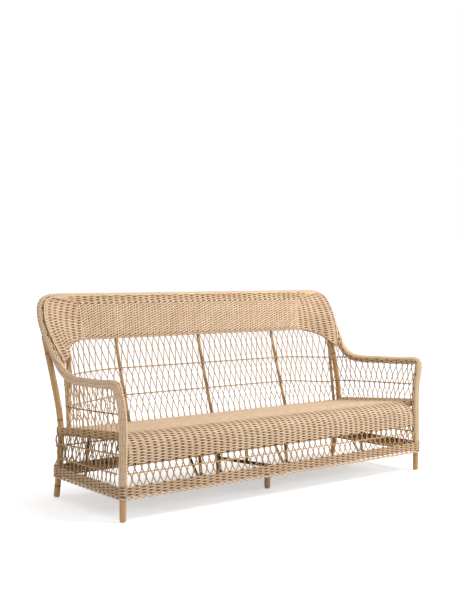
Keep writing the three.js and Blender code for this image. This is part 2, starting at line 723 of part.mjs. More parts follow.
const underArm = armPoints.slice(1, 1 + armShares.length + armTurnShares.length - 1);
const armHeads = [
  ...edge.slice(CORNER_ROW),
  ...underRimShares.map(spot),
  ...underArm.map((point) => point.clone().setZ(point.z - WRAP_R - GAP)),
];
armHeads.at(-1).y = POST_BACK_Y;
const armFeet = [...cornerFootShares.map(foot), at(LEG_X, POST_BACK_Y, latticeFoot(POST_BACK_Y))];
const armFootRoute = new Route(armFeet);
const armHeadRoute = new Route(armHeads);
const armLength = armFootRoute.getLength();
const armHeight = armFeet.at(-1).distanceTo(armHeads.at(-1));
const armPlace = (u, v) => {
  const share = 1 - u * (1 - STRAND / 2 / armLength);
  return between(armFootRoute.getPoint(share), armHeadRoute.getPoint(share), v);
};
const armRows = rows(armHeight, armRowShares, 2 * ROW_HEIGHT);
const armNet = panel(armPlace, strands(armLength, PITCH), armRows, NET, meshes);
addPair('arm_lattice', lattice, cut(armNet, armRoom, rimRoom, wingRoom, cornerRoom));

// Side of the seat: a woven band at seat level and lattice down to the apron

const sideBandX = [LEG_X + NET / 2, KNEE_X + POLE_R + GAP + NET / 2];
const sideRearY = KNEE_Y + POLE_R;
const lowFront = at(LEG_X + APRON_OUT, POST_BACK_Y, APRON_TOP + SEAM);
const lowRear = at(REAR_LEG_X + APRON_OUT, sideRearY, APRON_TOP + SEAM);
const highFront = at(sideBandX[0], POST_BACK_Y, seatZ(POST_BACK_Y) + BAND / 2);
const highRear = at(sideBandX[1], sideRearY, seatZ(sideRearY) + BAND / 2);
const sidePlace = (u, v) => between(between(lowFront, lowRear, u), between(highFront, highRear, u), v);
const sideHeight = lowFront.distanceTo(highFront);
const sideRows = rows(sideHeight, sideRowShares, (1 - BAND_SHARE) * sideHeight);
const sideNet = panel(sidePlace, strands(sideRearY - POST_BACK_Y, LOW_PITCH), sideRows, NET, meshes);
addPair('side_lattice', lattice, cut(sideNet, armRoom, postRoom, sideRoom));

// Lattice between seat and apron at the front and the rear

const frontHalf = LEG_X - WRAP_R - GAP;
const frontLow = at(0, FRONT_Y - APRON_OUT, APRON_TOP + GAP + SEAM);
const frontHigh = at(0, SKIRT_Y, SKIRT_Z - GAP - SEAM);
const rearLow = at(0, legTilt(APRON_LOW) + APRON_OUT, APRON_TOP + GAP + SEAM);
const rearHigh = at(0, uprightY(rearRailZ) + UPRIGHT_R + GAP + NET / 2, rearRailZ);

function lowNet(low, high, half, pitch, facing) {
  const place = (u, v) => {
    const point = between(low, high, v);
    point.x = facing * (2 * u - 1) * half;
    return point;
  };
  return panel(place, strands(2 * half, pitch), rows(low.distanceTo(high), []), NET, meshes);
}

const frontNet = lowNet(frontLow, frontHigh, frontHalf, PITCH, 1);
add('front_lattice', lattice, cut(frontNet, ...bothSides(armRoom)));
add('rear_lattice', lattice, lowNet(rearLow, rearHigh, REAR_LEG_X + UPRIGHT_R, 2 * PITCH, -1));

// Apron: a woven band with a rolled lower edge, wrapped round the legs

const APRON_IN = -SHEET / 2;
const apronSection = [
  [APRON_IN, APRON_LOW + ROLL_R],
  [APRON_IN + ROLL_R / 2, APRON_LOW],
  [APRON_IN + (3 * ROLL_R) / 2, APRON_LOW],
  [APRON_IN + 2 * ROLL_R, APRON_LOW + ROLL_R],
  [SHEET / 2, APRON_LOW + 2 * ROLL_R],
  [SHEET / 2, APRON_TOP],
  [APRON_IN, APRON_TOP],
];

// The section's corners at each point of a level line, mitred where the line turns
function apronCorners(points) {
  const positions = [];
  points.forEach((point, i) => {
    const before = points[Math.max(i - 1, 0)];
    const after = points[Math.min(i + 1, points.length - 1)];
    const inDirection = point.clone().sub(before).normalize();
    const outDirection = after.clone().sub(point).normalize();
    const along = inDirection.clone().add(outDirection).normalize();
    const out = at(along.y, -along.x, 0);
    const mitre = 1 / Math.max(along.dot(i > 0 ? inDirection : outDirection), 0.5);
    for (const [offset, z] of apronSection) {
      const place = point.clone().addScaledVector(out, offset * mitre);
      positions.push(place.x, place.y, z);
    }
  });
  return positions;
}

function apron(points) {
  const count = apronSection.length;
  const index = [];
  for (let i = 0; i < points.length - 1; i++) {
    for (let j = 0; j < count; j++) {
      const a = i * count + j;
      const b = i * count + ((j + 1) % count);
      index.push(a, a + count, b, b, a + count, b + count);
    }
  }
  const last = (points.length - 1) * count;
  const outline = apronSection.map(([x, y]) => new THREE.Vector2(x, y));
  for (const [a, b, c] of THREE.ShapeUtils.triangulateShape(outline, [])) {
    index.push(a, b, c, last + a, last + c, last + b);
  }
  return surface(apronCorners(points), index);
}

function aroundLeg(x, y, from, to) {
  const cornerR = APRON_OUT / Math.cos((to - from) / CORNER_CELLS / 2);
  return evenly(CORNER_CELLS).map((share) => {
    const turn = from + share * (to - from);
    return at(x + cornerR * Math.cos(turn), y + cornerR * Math.sin(turn), 0);
  });
}

const quarter = Math.PI / 2;
const apronRearY = legTilt(APRON_LOW);
const frontApron = [
  at(-LEG_X - APRON_OUT, FRONT_Y + WRAP_R, 0),
  ...aroundLeg(-LEG_X, FRONT_Y, 2 * quarter, 3 * quarter),
  ...aroundLeg(LEG_X, FRONT_Y, 3 * quarter, 4 * quarter),
  at(LEG_X + APRON_OUT, FRONT_Y + WRAP_R, 0),
];
const rearApron = [
  at(REAR_LEG_X + APRON_OUT, apronRearY - WRAP_R, 0),
  ...aroundLeg(REAR_LEG_X, apronRearY, 0, quarter),
  ...aroundLeg(-REAR_LEG_X, apronRearY, quarter, 2 * quarter),
  at(-REAR_LEG_X - APRON_OUT, apronRearY - WRAP_R, 0),
];
const sideApronFront = frontApron.at(-1).clone().setY(FRONT_Y + WRAP_R + 2 * SEAM);
const sideApronRear = rearApron[0].clone().setY(apronRearY - WRAP_R - 2 * SEAM);

add('apron_front', woven, apron(frontApron));
add('apron_rear', woven, apron(rearApron));
addPair('apron_side', woven, apron([sideApronFront, sideApronRear]));

export default sofa;
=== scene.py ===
# %% [markdown]
# # A rattan garden sofa, strand by strand
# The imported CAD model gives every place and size. Here each plain solid of it is dressed with
# what the real sofa is made of: smooth bent canes, round woven strands, crossing lattice strands
# and the sheath of long strands that covers the rim and the arms. All of it is worked out with
# numpy in metres, X to the right, Y to the back and Z up, with the floor at zero.

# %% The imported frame
import math

import bpy
import numpy as np
from mathutils import Matrix


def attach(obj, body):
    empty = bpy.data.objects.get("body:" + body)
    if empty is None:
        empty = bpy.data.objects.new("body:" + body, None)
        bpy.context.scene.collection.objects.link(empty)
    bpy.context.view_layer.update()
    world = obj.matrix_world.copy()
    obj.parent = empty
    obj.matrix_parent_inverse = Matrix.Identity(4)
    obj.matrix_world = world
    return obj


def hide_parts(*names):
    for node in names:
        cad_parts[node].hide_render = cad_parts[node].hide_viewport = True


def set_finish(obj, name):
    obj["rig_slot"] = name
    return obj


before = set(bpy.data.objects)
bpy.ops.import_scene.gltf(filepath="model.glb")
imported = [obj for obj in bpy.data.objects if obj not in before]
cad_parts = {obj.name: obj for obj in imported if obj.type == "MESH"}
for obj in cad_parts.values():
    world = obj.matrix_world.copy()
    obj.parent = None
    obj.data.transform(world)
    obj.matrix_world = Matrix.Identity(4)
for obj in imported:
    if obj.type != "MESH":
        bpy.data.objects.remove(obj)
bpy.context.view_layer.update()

# %% [markdown]
# ## Sizes
# Shapes follow named values in metres, the same ones that the CAD source uses, so each piece
# lands on the solid it stands for. Places are shares of the overall size, as there: across of
# the arm's half span, back of the way from the front legs to the top rail, and up of the way
# from the arm to the top rail.

# %% Overall sizes and the radii of the canes
WIDTH, DEPTH, HEIGHT = 1.900, 0.770, 0.937
POLE_R, WRAP_R, RAIL_R, BASE_R = 0.014, 0.019, 0.011, 0.009
UPRIGHT_R, STRUT_R, BRACE_R, STRETCHER_R = 0.008, 0.007, 0.006, 0.0085
SHEET, NET, GAP, SEAM = 0.008, 0.006, 0.0003, 0.0006
GLIDE_R, GLIDE_H = 0.012, 0.005

ARM_Z, ARM_BEND, FLARE = 0.572, 0.028, 0.130
LEG_INSET, REAR_INSET, KNEE_INSET = 0.043, 0.022, 0.020
KNEE_Z, KNEE_BEND = 0.335, 0.060
APRON_LOW, APRON_TOP, ROLL_R, BASE_Z = 0.094, 0.150, 0.006, 0.118
SEAT_CLEAR, SEAT_REAR_Z, NOSE_R, NOSE_Z = 0.004, 0.317, 0.081, 0.275
SKIRT_Z, SKIRT_PROUD, BAND, STRETCHER_Z = 0.238, 0.004, 0.028, 0.092

ARM_X = WIDTH / 2 - WRAP_R
RAIL_Y = DEPTH / 2 - WRAP_R
RAIL_Z = HEIGHT - WRAP_R
APRON_OUT = POLE_R + GAP + SHEET / 2
ROLL_OUT = POLE_R + GAP + ROLL_R
FRONT_Y = -(DEPTH / 2 - ROLL_OUT - ROLL_R)
BASE_OUT = POLE_R - BASE_R
SKIRT_Y = FRONT_Y - SKIRT_PROUD
NOSE_Y = SKIRT_Y + NOSE_R
POST_BACK_Y = FRONT_Y + WRAP_R + GAP
LEG_X = WIDTH / 2 - LEG_INSET
REAR_LEG_X = LEG_X - REAR_INSET
KNEE_X = LEG_X - KNEE_INSET
SEAT_HALF = LEG_X - WRAP_R - SEAT_CLEAR
BAY_SHARE, FLAT_SHARE = 0.54, 0.6445
BAY_X, FLAT_X = BAY_SHARE * ARM_X, FLAT_SHARE * ARM_X
print("arm axis", round(ARM_X, 4), "rail height", round(RAIL_Z, 4), "front legs", round(FRONT_Y, 4))

# %% Places as shares of the overall size


def back_at(share):
    """Depth at a share of the way from the front legs to the top rail."""
    return FRONT_Y + np.asarray(share) * (RAIL_Y - FRONT_Y)


def up_at(share):
    """Height at a share of the way from the arm to the top rail."""
    return ARM_Z + np.asarray(share) * (RAIL_Z - ARM_Z)


def spots(shares):
    """Points from rows of shares: across times ARM_X, then back_at, then up_at."""
    across, back, up = np.array(shares, float).T
    return np.stack([across * ARM_X, back_at(back), up_at(up)], -1)


REAR_FOOT_Y, KNEE_Y, BACK_FOOT_Y = back_at(0.8303), back_at(0.7516), back_at(0.7861)
WEAVE_Y, WEAVE_Z = back_at(0.9434), up_at(0.4162)
CENTRE_LEG_Y, REAR_CENTRE_FOOT_Y = back_at(0.1914), back_at(0.7075)
PROP_Y, SIDE_STRUT_Y = back_at(0.408), back_at(0.4122)
BRACE_TOP_Y, BRACE_FOOT_Y = back_at(0.235), back_at(0.0106)

wing = spots([
    [0.752, 1, 1], [0.875, 1, 1], [0.932, 0.993, 0.983], [0.968, 0.971, 0.925],
    [0.986, 0.941, 0.792], [0.989, 0.897, 0.61], [0.983, 0.843, 0.41], [0.973, 0.782, 0.223],
    [0.968, 0.715, 0.072], [0.97, 0.629, -0.015], [0.981, 0.537, -0.035],
])
arm = spots([[0.997, 0.375, -0.029], [1, 0.131, -0.012]])
edge = spots([
    [0.73, 0.941, 0.416], [0.789, 0.927, 0.408], [0.825, 0.905, 0.384], [0.849, 0.879, 0.358],
    [0.868, 0.85, 0.329], [0.888, 0.791, 0.24], [0.92, 0.771, 0.179],
])
under_rim = spots([[0.959, 0.706, 0.023], [0.9635, 0.65, -0.058]])
CORNER_ROW = 5
WING_TIP, WING_RUN = 0.004, 0.039
corner_foot_shares = np.array([
    [0.9055, 0.751], [0.933, 0.728], [0.951, 0.69], [0.963, 0.637],
    [0.97, 0.57], [0.974, 0.49], [0.976, 0.33], [0.979, 0.17],
])
arm_turn = np.array([[0, 1, 0], [0.1, 0.2, 0.25], [0.2, 0, 1]])
print("rim points", len(wing), "splice at", np.round(wing[-1], 3))

# %% [markdown]
# ## Working with whole arrays
# Almost everything on this sofa is a long thin thing that follows a curve. So three tools do
# most of the work: a smooth curve through given points, a table of even distances along it, and
# a sweep that carries a round section along many lines at once and makes one mesh of them.

# %% Curves through points
STEP = 1e-4                 # a small step of a share, over which directions are taken
MEASURED_SAMPLES = 1500


def unit(vectors):
    """Each vector divided by its own length."""
    return vectors / np.maximum(np.linalg.norm(vectors, axis=-1, keepdims=True), 1e-12)


def between(a, b, share):
    """a plus the given share of the way to b."""
    share = np.asarray(share, float)[..., None]
    return a + (b - a) * share


def smooth(x):
    """Zero below 0, one above 1, and 3 x squared minus 2 x cubed between them."""
    x = np.clip(x, 0, 1)
    return x * x * (3 - 2 * x)


def route(points, t):
    """Centripetal Catmull-Rom curve at shares t, evenly divided between the points.

    Each stretch is the cubic whose ends are two neighbouring points and whose slopes there
    come from the points on both sides, weighted by the square roots of their distances.
    """
    p = np.asarray(points, float)
    p = np.vstack([2 * p[0] - p[1], p, 2 * p[-1] - p[-2]])
    stretch = np.clip(t, 0, 1) * (len(p) - 3)
    i = np.minimum(stretch.astype(int), len(p) - 4)
    w = (stretch - i)[..., None]
    a, b, c, d = p[i], p[i + 1], p[i + 2], p[i + 3]
    ab, bc, cd = (np.sqrt(np.linalg.norm(gap, axis=-1, keepdims=True)) for gap in (b - a, c - b, d - c))
    start = ((b - a) / ab - (c - a) / (ab + bc) + (c - b) / bc) * bc
    stop = ((c - b) / bc - (d - b) / (bc + cd) + (d - c) / cd) * bc
    return b + w * (start + w * (3 * (c - b) - 2 * start - stop + w * (2 * (b - c) + start + stop)))


def line(points, t):
    """Straight stretches between the points, evenly divided between them."""
    p = np.asarray(points, float)
    stretch = np.clip(t, 0, 1) * (len(p) - 1)
    i = np.minimum(stretch.astype(int), len(p) - 2)
    return between(p[i], p[i + 1], stretch - i)


def measured(curve, first=0.0, last=1.0):
    """Length of a curve between two shares, and a function from distance to share."""
    t = np.linspace(first, last, MEASURED_SAMPLES)
    steps = np.linalg.norm(np.diff(curve(t), axis=0), axis=-1)
    distance = np.concatenate([[0], np.cumsum(steps)])
    return distance[-1], lambda d: np.interp(d, distance, t)


print("rim stretch", round(measured(lambda t: route(wing, t))[0], 3), "m")

# %% [markdown]
# A sweep takes centre lines as an array of lines by samples, with a direction that each line's
# section faces. Around each sample it lays an ellipse, joins neighbouring ellipses with four
# sided faces and closes both ends with a strip of them. The mesh also keeps what the finish
# needs: distance along and around in the UV map, a tone for each strand, and how deep it lies,
# which the finish paints as shade on strands and as the darker rings on poles.

# %% Sweeping sections along lines


def sweep(centre, facing, wide, thick, sides):
    """Vertices, faces, UVs of closed tubes: centre + wide cos(a) side + thick sin(a) facing."""
    count, samples = centre.shape[:2]
    tangent = unit(np.gradient(centre, axis=1))
    side = unit(np.cross(tangent, facing))
    front = np.cross(side, tangent)
    turn = (np.arange(sides) + 0.5) / sides * 2 * np.pi
    wide = np.broadcast_to(wide, (count, samples))[..., None, None]
    thick = np.broadcast_to(thick, (count, samples))[..., None, None]
    across, up = wide * np.cos(turn)[:, None], thick * np.sin(turn)[:, None]
    ring = across * side[:, :, None] + up * front[:, :, None]
    vertices = (centre[:, :, None] + ring).reshape(-1, 3)

    index = np.arange(count * samples * sides).reshape(count, samples, sides)
    near, far = index, np.roll(index, -1, axis=2)
    walls = np.stack([near[:, :-1], near[:, 1:], far[:, 1:], far[:, :-1]], -1).reshape(-1, 4)
    j = np.arange(sides // 2 - 1)
    strip = np.stack([j, j + 1, sides - 2 - j, sides - 1 - j], -1)
    starts = index[:, 0][:, strip].reshape(-1, 4)
    stops = index[:, -1][:, strip[:, ::-1]].reshape(-1, 4)

    distance = np.zeros((count, samples))
    distance[:, 1:] = np.cumsum(np.linalg.norm(np.diff(centre, axis=1), axis=-1), axis=1)
    around = np.arange(sides + 1) / sides * np.pi * (wide.max() + thick.max())
    u = np.broadcast_to(distance[:, :, None], (count, samples, sides))
    low, high = around[:-1], around[1:]
    corners = [(u[:, :-1], low), (u[:, 1:], low), (u[:, 1:], high), (u[:, :-1], high)]
    uv = np.stack([np.stack([a, np.broadcast_to(b, a.shape)], -1) for a, b in corners], -2)
    uv = uv.reshape(-1, 2)
    ends = (len(starts) + len(stops)) * 4
    uv = np.vstack([uv, np.zeros((ends, 2))])
    return vertices, np.vstack([walls, starts, stops]), uv


def join(parts):
    """Several swept parts as one: faces are renumbered past the vertices before them."""
    vertices, faces, uvs, tones, deeps, first = [], [], [], [], [], 0
    for (points, quads, uv), tone, deep in parts:
        vertices.append(points)
        faces.append(quads + first)
        uvs.append(uv)
        tones.append(tone)
        deeps.append(deep)
        first += len(points)
    return [np.concatenate(rows) for rows in (vertices, faces, uvs, tones, deeps)]


# The finish paints a strand's depth as shade, so edge adds painted shade on its sides.
def strands(centre, facing, wide, thick, tone=0.0, deep=0.0, sides=6, edge=0.0):
    """One swept part with its tone and depth, which grows by edge times cos(a) to the fourth."""
    shape = (*centre.shape[:2], sides)
    turn = (np.arange(sides) + 0.5) / sides * 2 * np.pi
    tone, deep = (np.broadcast_to(value, centre.shape[:2])[..., None] for value in (tone, deep))
    tone = np.broadcast_to(tone, shape).ravel()
    return sweep(centre, facing, wide, thick, sides), tone, (deep + edge * np.cos(turn) ** 4).ravel()


triangles = {}
pieces = {}


def piece(name, parts, slot, *nodes):
    """Makes one Blender object of swept parts that rides on the frame in place of CAD nodes."""
    vertices, quads, uv, tone, deep = join(parts)
    mesh = bpy.data.meshes.new(name)
    mesh.vertices.add(len(vertices))
    mesh.vertices.foreach_set("co", vertices.astype(np.float32).ravel())
    mesh.loops.add(quads.size)
    mesh.loops.foreach_set("vertex_index", quads.astype(np.int32).ravel())
    mesh.polygons.add(len(quads))
    mesh.polygons.foreach_set("loop_start", np.arange(0, quads.size, 4, dtype=np.int32))
    mesh.polygons.foreach_set("use_smooth", np.ones(len(quads), bool))
    mesh.uv_layers.new(name="UVMap").data.foreach_set("uv", uv.astype(np.float32).ravel())
    for label, values in (("tone", tone), ("deep", deep)):
        mesh.attributes.new(label, "FLOAT", "POINT").data.foreach_set("value", values.astype(np.float32))
    mesh.update(calc_edges=True)
    made = bpy.data.objects.new(name, mesh)
    bpy.context.scene.collection.objects.link(made)
    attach(made, "root")
    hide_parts(*nodes)
    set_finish(made, slot)
    triangles[name] = 2 * len(quads)
    pieces[name] = made
    return made


MIRROR = np.array([-1.0, 1.0, 1.0])
UP, RIGHT, FORWARD = np.array([0.0, 0, 1]), np.array([1.0, 0, 0]), np.array([0.0, -1, 0])
rng = np.random.default_rng(20)
print("tools ready")

# %% [markdown]
# ## Surfaces that the weaving follows
# A weaver works on an imagined sheet stretched between the canes. The seat is a straight fall
# that turns over a rounded nose into a skirt, the back is a plane that meets the top rail, and
# the wings are ruled between their lower edge and the bent rim.

# %% The seat's section
CORNER_TURN = math.pi / 5
CORNER_SET = NET / 2 + GAP + UPRIGHT_R
CORNER_Y = back_at(corner_foot_shares[0, 1]) + CORNER_SET * math.cos(CORNER_TURN)
SEAT_REAR_Y = CORNER_Y + UPRIGHT_R + GAP + SEAT_CLEAR
to_nose = math.hypot(SEAT_REAR_Y - NOSE_Y, SEAT_REAR_Z - NOSE_Z)
SEAT_ANGLE = math.atan2(NOSE_Z - SEAT_REAR_Z, SEAT_REAR_Y - NOSE_Y) + math.asin(NOSE_R / to_nose)
FALL_LENGTH = (SEAT_REAR_Y - NOSE_Y - NOSE_R * math.sin(SEAT_ANGLE)) / math.cos(SEAT_ANGLE)
TURN_LENGTH = NOSE_R * (math.pi / 2 + SEAT_ANGLE)
SEAT_LENGTH = FALL_LENGTH + TURN_LENGTH + NOSE_Z - SKIRT_Z
SIDE_ROLL = 0.016           # how far in from its side the seat begins to roll down


def seat_z(y):
    """Height of the seat's straight part at depth y: it rises evenly towards the front."""
    return SEAT_REAR_Z + (SEAT_REAR_Y - y) * math.tan(SEAT_ANGLE)


def seat_place(u, v):
    """Seat surface: u across from left to right, v down its section from the rear edge.

    Behind the nose the section is straight, round the nose it is an arc of NOSE_R about the
    nose's middle, and below that it drops straight. Near both sides it rolls down a little.
    """
    u, v = np.broadcast_arrays(np.asarray(u, float), np.asarray(v, float))
    d = v * SEAT_LENGTH
    turn = np.clip((d - FALL_LENGTH) / NOSE_R - SEAT_ANGLE, -SEAT_ANGLE, math.pi / 2)
    back = np.clip(FALL_LENGTH - d, 0, None)
    drop = np.clip(d - FALL_LENGTH - TURN_LENGTH, 0, None)
    x = (2 * u - 1) * SEAT_HALF
    roll = np.clip(np.abs(x) - SEAT_HALF + SIDE_ROLL, 0, None) ** 2 / (3 * SIDE_ROLL)
    y = NOSE_Y - NOSE_R * np.sin(turn) + back * math.cos(SEAT_ANGLE)
    z = NOSE_Z + NOSE_R * np.cos(turn) - back * math.sin(SEAT_ANGLE) - drop - roll
    return np.stack([x, y, z], -1)


print("seat section", round(SEAT_LENGTH, 3), "m, rise", round(math.degrees(SEAT_ANGLE), 2), "degrees")

# %% The rim's course, and the back and wings that meet it
rim_half = np.vstack([wing, arm[:1]])
rim_points = np.vstack([(rim_half * MIRROR)[::-1], rim_half])
arm_down = np.array([ARM_X, FRONT_Y, ARM_Z]) + arm_turn * ARM_BEND * np.array([-1, 1, -1])
leg_points = np.array([[LEG_X, FRONT_Y, z] for z in (ARM_Z - FLARE, APRON_TOP, 0)])
arm_points = np.vstack([wing[-2:], arm, arm_down, leg_points])
TOUCH = WRAP_R + GAP + SHEET / 2


def across_from(vectors, along):
    """The part of each vector that lies square to a direction."""
    return vectors - (vectors * along).sum(-1, keepdims=True) * along


def touch(rim, along, low):
    """Where a sheet from its lower edge touches the rim from the front, half a sheet off it."""
    inward = across_from(low - rim, along)
    sine = TOUCH / np.linalg.norm(inward, axis=-1, keepdims=True)
    inward = unit(inward)
    front = unit(np.cross(inward, along))
    return rim + TOUCH * np.sqrt(1 - sine ** 2) * front + TOUCH * sine * inward


wing_t = (len(rim_half) + np.arange(len(edge) + 1)) / (len(rim_points) - 1)
wing_along = unit(route(rim_points, wing_t + STEP) - route(rim_points, wing_t - STEP))
tip_inward = unit(across_from(edge[-1] - wing[len(edge)], wing_along[-1]))
wing_end = wing[len(edge)] + (TOUCH + WING_TIP) * tip_inward
edge = np.vstack([edge, wing_end + WING_RUN * wing_along[-1]])

back_edge = np.array([FLAT_X, WEAVE_Y, WEAVE_Z + SEAM])
back_touch = touch(np.array([[FLAT_X, RAIL_Y, RAIL_Z]]), RIGHT[None], back_edge[None])[0]
BACK_HEIGHT = np.linalg.norm(back_touch - back_edge)


def back_place(u, v):
    """Closed back: a plane, u across from right to left, v up from its lower edge."""
    u, v = np.broadcast_arrays(np.asarray(u, float), np.asarray(v, float))
    point = between(back_edge, back_touch, v)
    point[..., 0] = (1 - 2 * u) * FLAT_X
    return point


wing_touch = touch(wing[: len(edge)], wing_along, edge)
edge_points = np.vstack([back_edge, edge + SEAM * UP])
touch_points = np.vstack([back_touch, wing_touch])


def wing_place(u, v):
    """Right wing: straight lines from its lower edge to the rim, u from the flat back outwards."""
    u, v = np.broadcast_arrays(np.asarray(u, float), np.asarray(v, float))
    return between(route(edge_points, u), route(touch_points, u), v)


print("closed back", round(BACK_HEIGHT, 3), "m tall, touches the rail at", np.round(back_touch[1:], 3))

# %% The lattice surfaces
BAY_BEND = 0.6              # where a back corner's foot turns, as a share of its way
lean = (WEAVE_Y - BACK_FOOT_Y) / (WEAVE_Z - seat_z(BACK_FOOT_Y) - BAND / 2)
lattice_foot_z = seat_z(BACK_FOOT_Y) + BAND / 2 + GAP
upright_set = (NET / 2 + GAP + UPRIGHT_R) * math.hypot(1, lean)
back_foot = np.array([BAY_X, BACK_FOOT_Y, lattice_foot_z])
back_head = np.array([BAY_X, WEAVE_Y - lean * GAP, WEAVE_Z - GAP])


def lattice_foot(y):
    """Height at which a lattice starts above the seat's edge."""
    return seat_z(y) + BAND / 2 + GAP + SEAM


def flat_net_place(u, v):
    """The wide lattice of the back: a plane, u across from right to left, v up."""
    u, v = np.broadcast_arrays(np.asarray(u, float), np.asarray(v, float))
    point = between(back_foot, back_head, v)
    point[..., 0] = (1 - 2 * u) * BAY_X
    return point


foot_line = spots(np.column_stack([corner_foot_shares, np.zeros(len(corner_foot_shares))]))
foot_line[:, 2] = lattice_foot(foot_line[:, 1])
corner_foot = foot_line[0]
flat_foot = back_foot + (FLAT_X - BAY_X) * RIGHT
bay_feet = np.vstack([back_foot, flat_foot, between(flat_foot, corner_foot, BAY_BEND), corner_foot])
bay_heads = np.vstack([back_head, [FLAT_X, back_head[1], back_head[2]], edge[: CORNER_ROW + 1]])
bay_head_share = measured(lambda t: route(bay_heads, t))


def bay_place(u, v):
    """The lattice of a back corner, u from the wide one to the corner upright, v up."""
    u, v = np.broadcast_arrays(np.asarray(u, float), np.asarray(v, float))
    head = route(bay_heads, bay_head_share[1](np.clip(u, 0, 1) * bay_head_share[0]))
    return between(route(bay_feet, u), head, v)


under_arm = arm_points[1:5] - (WRAP_R + GAP) * UP
under_arm[-1, 1] = POST_BACK_Y
arm_heads = np.vstack([edge[CORNER_ROW:], under_rim, under_arm])
arm_feet = np.vstack([foot_line, [LEG_X, POST_BACK_Y, lattice_foot(POST_BACK_Y)]])


def arm_place(u, v):
    """The lattice under the right arm, u from the corner upright to the front post, v up."""
    u, v = np.broadcast_arrays(np.asarray(u, float), np.asarray(v, float))
    return between(route(arm_feet, u), route(arm_heads, u), v)


def leg_tilt(z):
    """Depth of a rear leg's axis at height z, on the straight line from its foot to the knee."""
    return REAR_FOOT_Y + (KNEE_Y - REAR_FOOT_Y) * z / KNEE_Z


side_rear_y = KNEE_Y + POLE_R
low_front = np.array([LEG_X + APRON_OUT, POST_BACK_Y, APRON_TOP + SEAM])
low_rear = np.array([REAR_LEG_X + APRON_OUT, side_rear_y, APRON_TOP + SEAM])
high_front = np.array([LEG_X + NET / 2, POST_BACK_Y, seat_z(POST_BACK_Y) + BAND / 2])
high_rear = np.array([KNEE_X + POLE_R + GAP + NET / 2, side_rear_y, seat_z(side_rear_y) + BAND / 2])


def side_place(u, v):
    """The seat's right side, u from front to rear, v up from the apron to the top of its band."""
    u, v = np.broadcast_arrays(np.asarray(u, float), np.asarray(v, float))
    return between(between(low_front, low_rear, u), between(high_front, high_rear, u), v)


def upright_y(z):
    """Depth of the back uprights' axes at height z, a little behind the lattice."""
    return BACK_FOOT_Y + upright_set + lean * (z - lattice_foot_z)


REAR_RAIL_Z = seat_z(SEAT_REAR_Y - RAIL_R) - SHEET / 2 - SEAM - RAIL_R
REAR_RAIL_Y = upright_y(REAR_RAIL_Z) - (UPRIGHT_R + RAIL_R) * math.hypot(1, lean) - SEAM


def front_net_place(u, v):
    """Lattice under the seat's skirt, u from left to right, v up."""
    u, v = np.broadcast_arrays(np.asarray(u, float), np.asarray(v, float))
    low = np.array([0, FRONT_Y - APRON_OUT, APRON_TOP])
    high = np.array([0, SKIRT_Y, SKIRT_Z])
    point = between(low, high, v)
    point[..., 0] = (2 * u - 1) * (LEG_X - WRAP_R - GAP)
    return point


def rear_net_place(u, v):
    """Lattice under the seat's rear edge, u from right to left, v up."""
    u, v = np.broadcast_arrays(np.asarray(u, float), np.asarray(v, float))
    low = np.array([0, leg_tilt(APRON_LOW) + APRON_OUT, APRON_TOP])
    high = np.array([0, upright_y(REAR_RAIL_Z) + UPRIGHT_R + GAP + NET / 2, REAR_RAIL_Z])
    point = between(low, high, v)
    point[..., 0] = (1 - 2 * u) * (REAR_LEG_X + UPRIGHT_R)
    return point


print("lean of the back", round(math.degrees(math.atan(lean)), 1), "degrees")

# %% [markdown]
# ## Weaving
# The stakes stand 35.5 mm apart. In plain weaving one strand passes in front of every second
# stake and behind the others, and the next strand does the opposite. Where it dips behind a
# stake it is pinched and darkened with painted shade, so short dark dashes line up along each
# stake. In twining two strands go round each other between the stakes, so all that shows in
# front slants the same way. Both are rows laid on a surface, raised off it and moved along it
# by waves whose half period is one stake.

# %% Rows of strands on a surface
PITCH, ARM_PITCH, SIDE_PITCH = 0.0355, 0.0365, 0.047
ROW = 0.0060
STRAND_W, STRAND_T = 0.0033, 0.0019     # half width and half thickness of a strand
STAKE_W, STAKE_T = 0.0028, 0.0014
FILLING_T, BEHIND_T = 0.0009, 0.0012    # flat strands laid straight behind the rows
# Dips get darker from the wave DIP on, and every strand's sides get darker too: both are painted shade.
WAVE, DIP = 0.0024, 0.0012              # a strand's wave, and the wave from which dips are dark
EDGE_SHADE, PINCH = 0.4, 0.12                 # how dark a strand's edges are, and how much a dip narrows it
DRIFT, TONE_SPREAD = 0.00025, 0.42      # how far strands drift sideways, and how much their tones differ
SAMPLES = 6                             # points along a strand from one stake to the next


def faces_of(place, u, v, outward):
    """Unit normal, unit upward direction and unit direction along the rows of a surface."""
    along = place(u + STEP, v) - place(u - STEP, v)
    up = place(u, v + STEP) - place(u, v - STEP)
    return outward * unit(np.cross(along, up)), unit(up), unit(along)


def wander(count, samples, amount):
    """A slow drift for each strand: a long sine wave and a shorter one 0.6 as high, both random."""
    x = np.linspace(0, 1, samples)[None]
    phase = rng.uniform(0, 2 * np.pi, (2, count, 1))
    waves = rng.uniform(3, 9, (2, count, 1))
    long_wave = np.sin(2 * np.pi * waves[0] * x + phase[0])
    short_wave = np.sin(5 * np.pi * waves[1] * x + phase[1])
    return amount * (long_wave + 0.6 * short_wave)


def tones(count):
    """A tone for each strand, from -1 for the darkest to 1 for the palest."""
    return np.clip(rng.normal(0, TONE_SPREAD, count), -1, 1)[:, None]


def row_grid(heights, stakes, steps):
    """Shares along and up for rows: steps samples from stake to stake, at even or given heights."""
    heights = np.asarray(heights, float)
    heights = heights[:, None] if heights.ndim == 1 else heights
    u = np.linspace(0, 1, stakes * steps + 1)[None] + np.zeros((len(heights), 1))
    return u, heights + np.zeros_like(u)


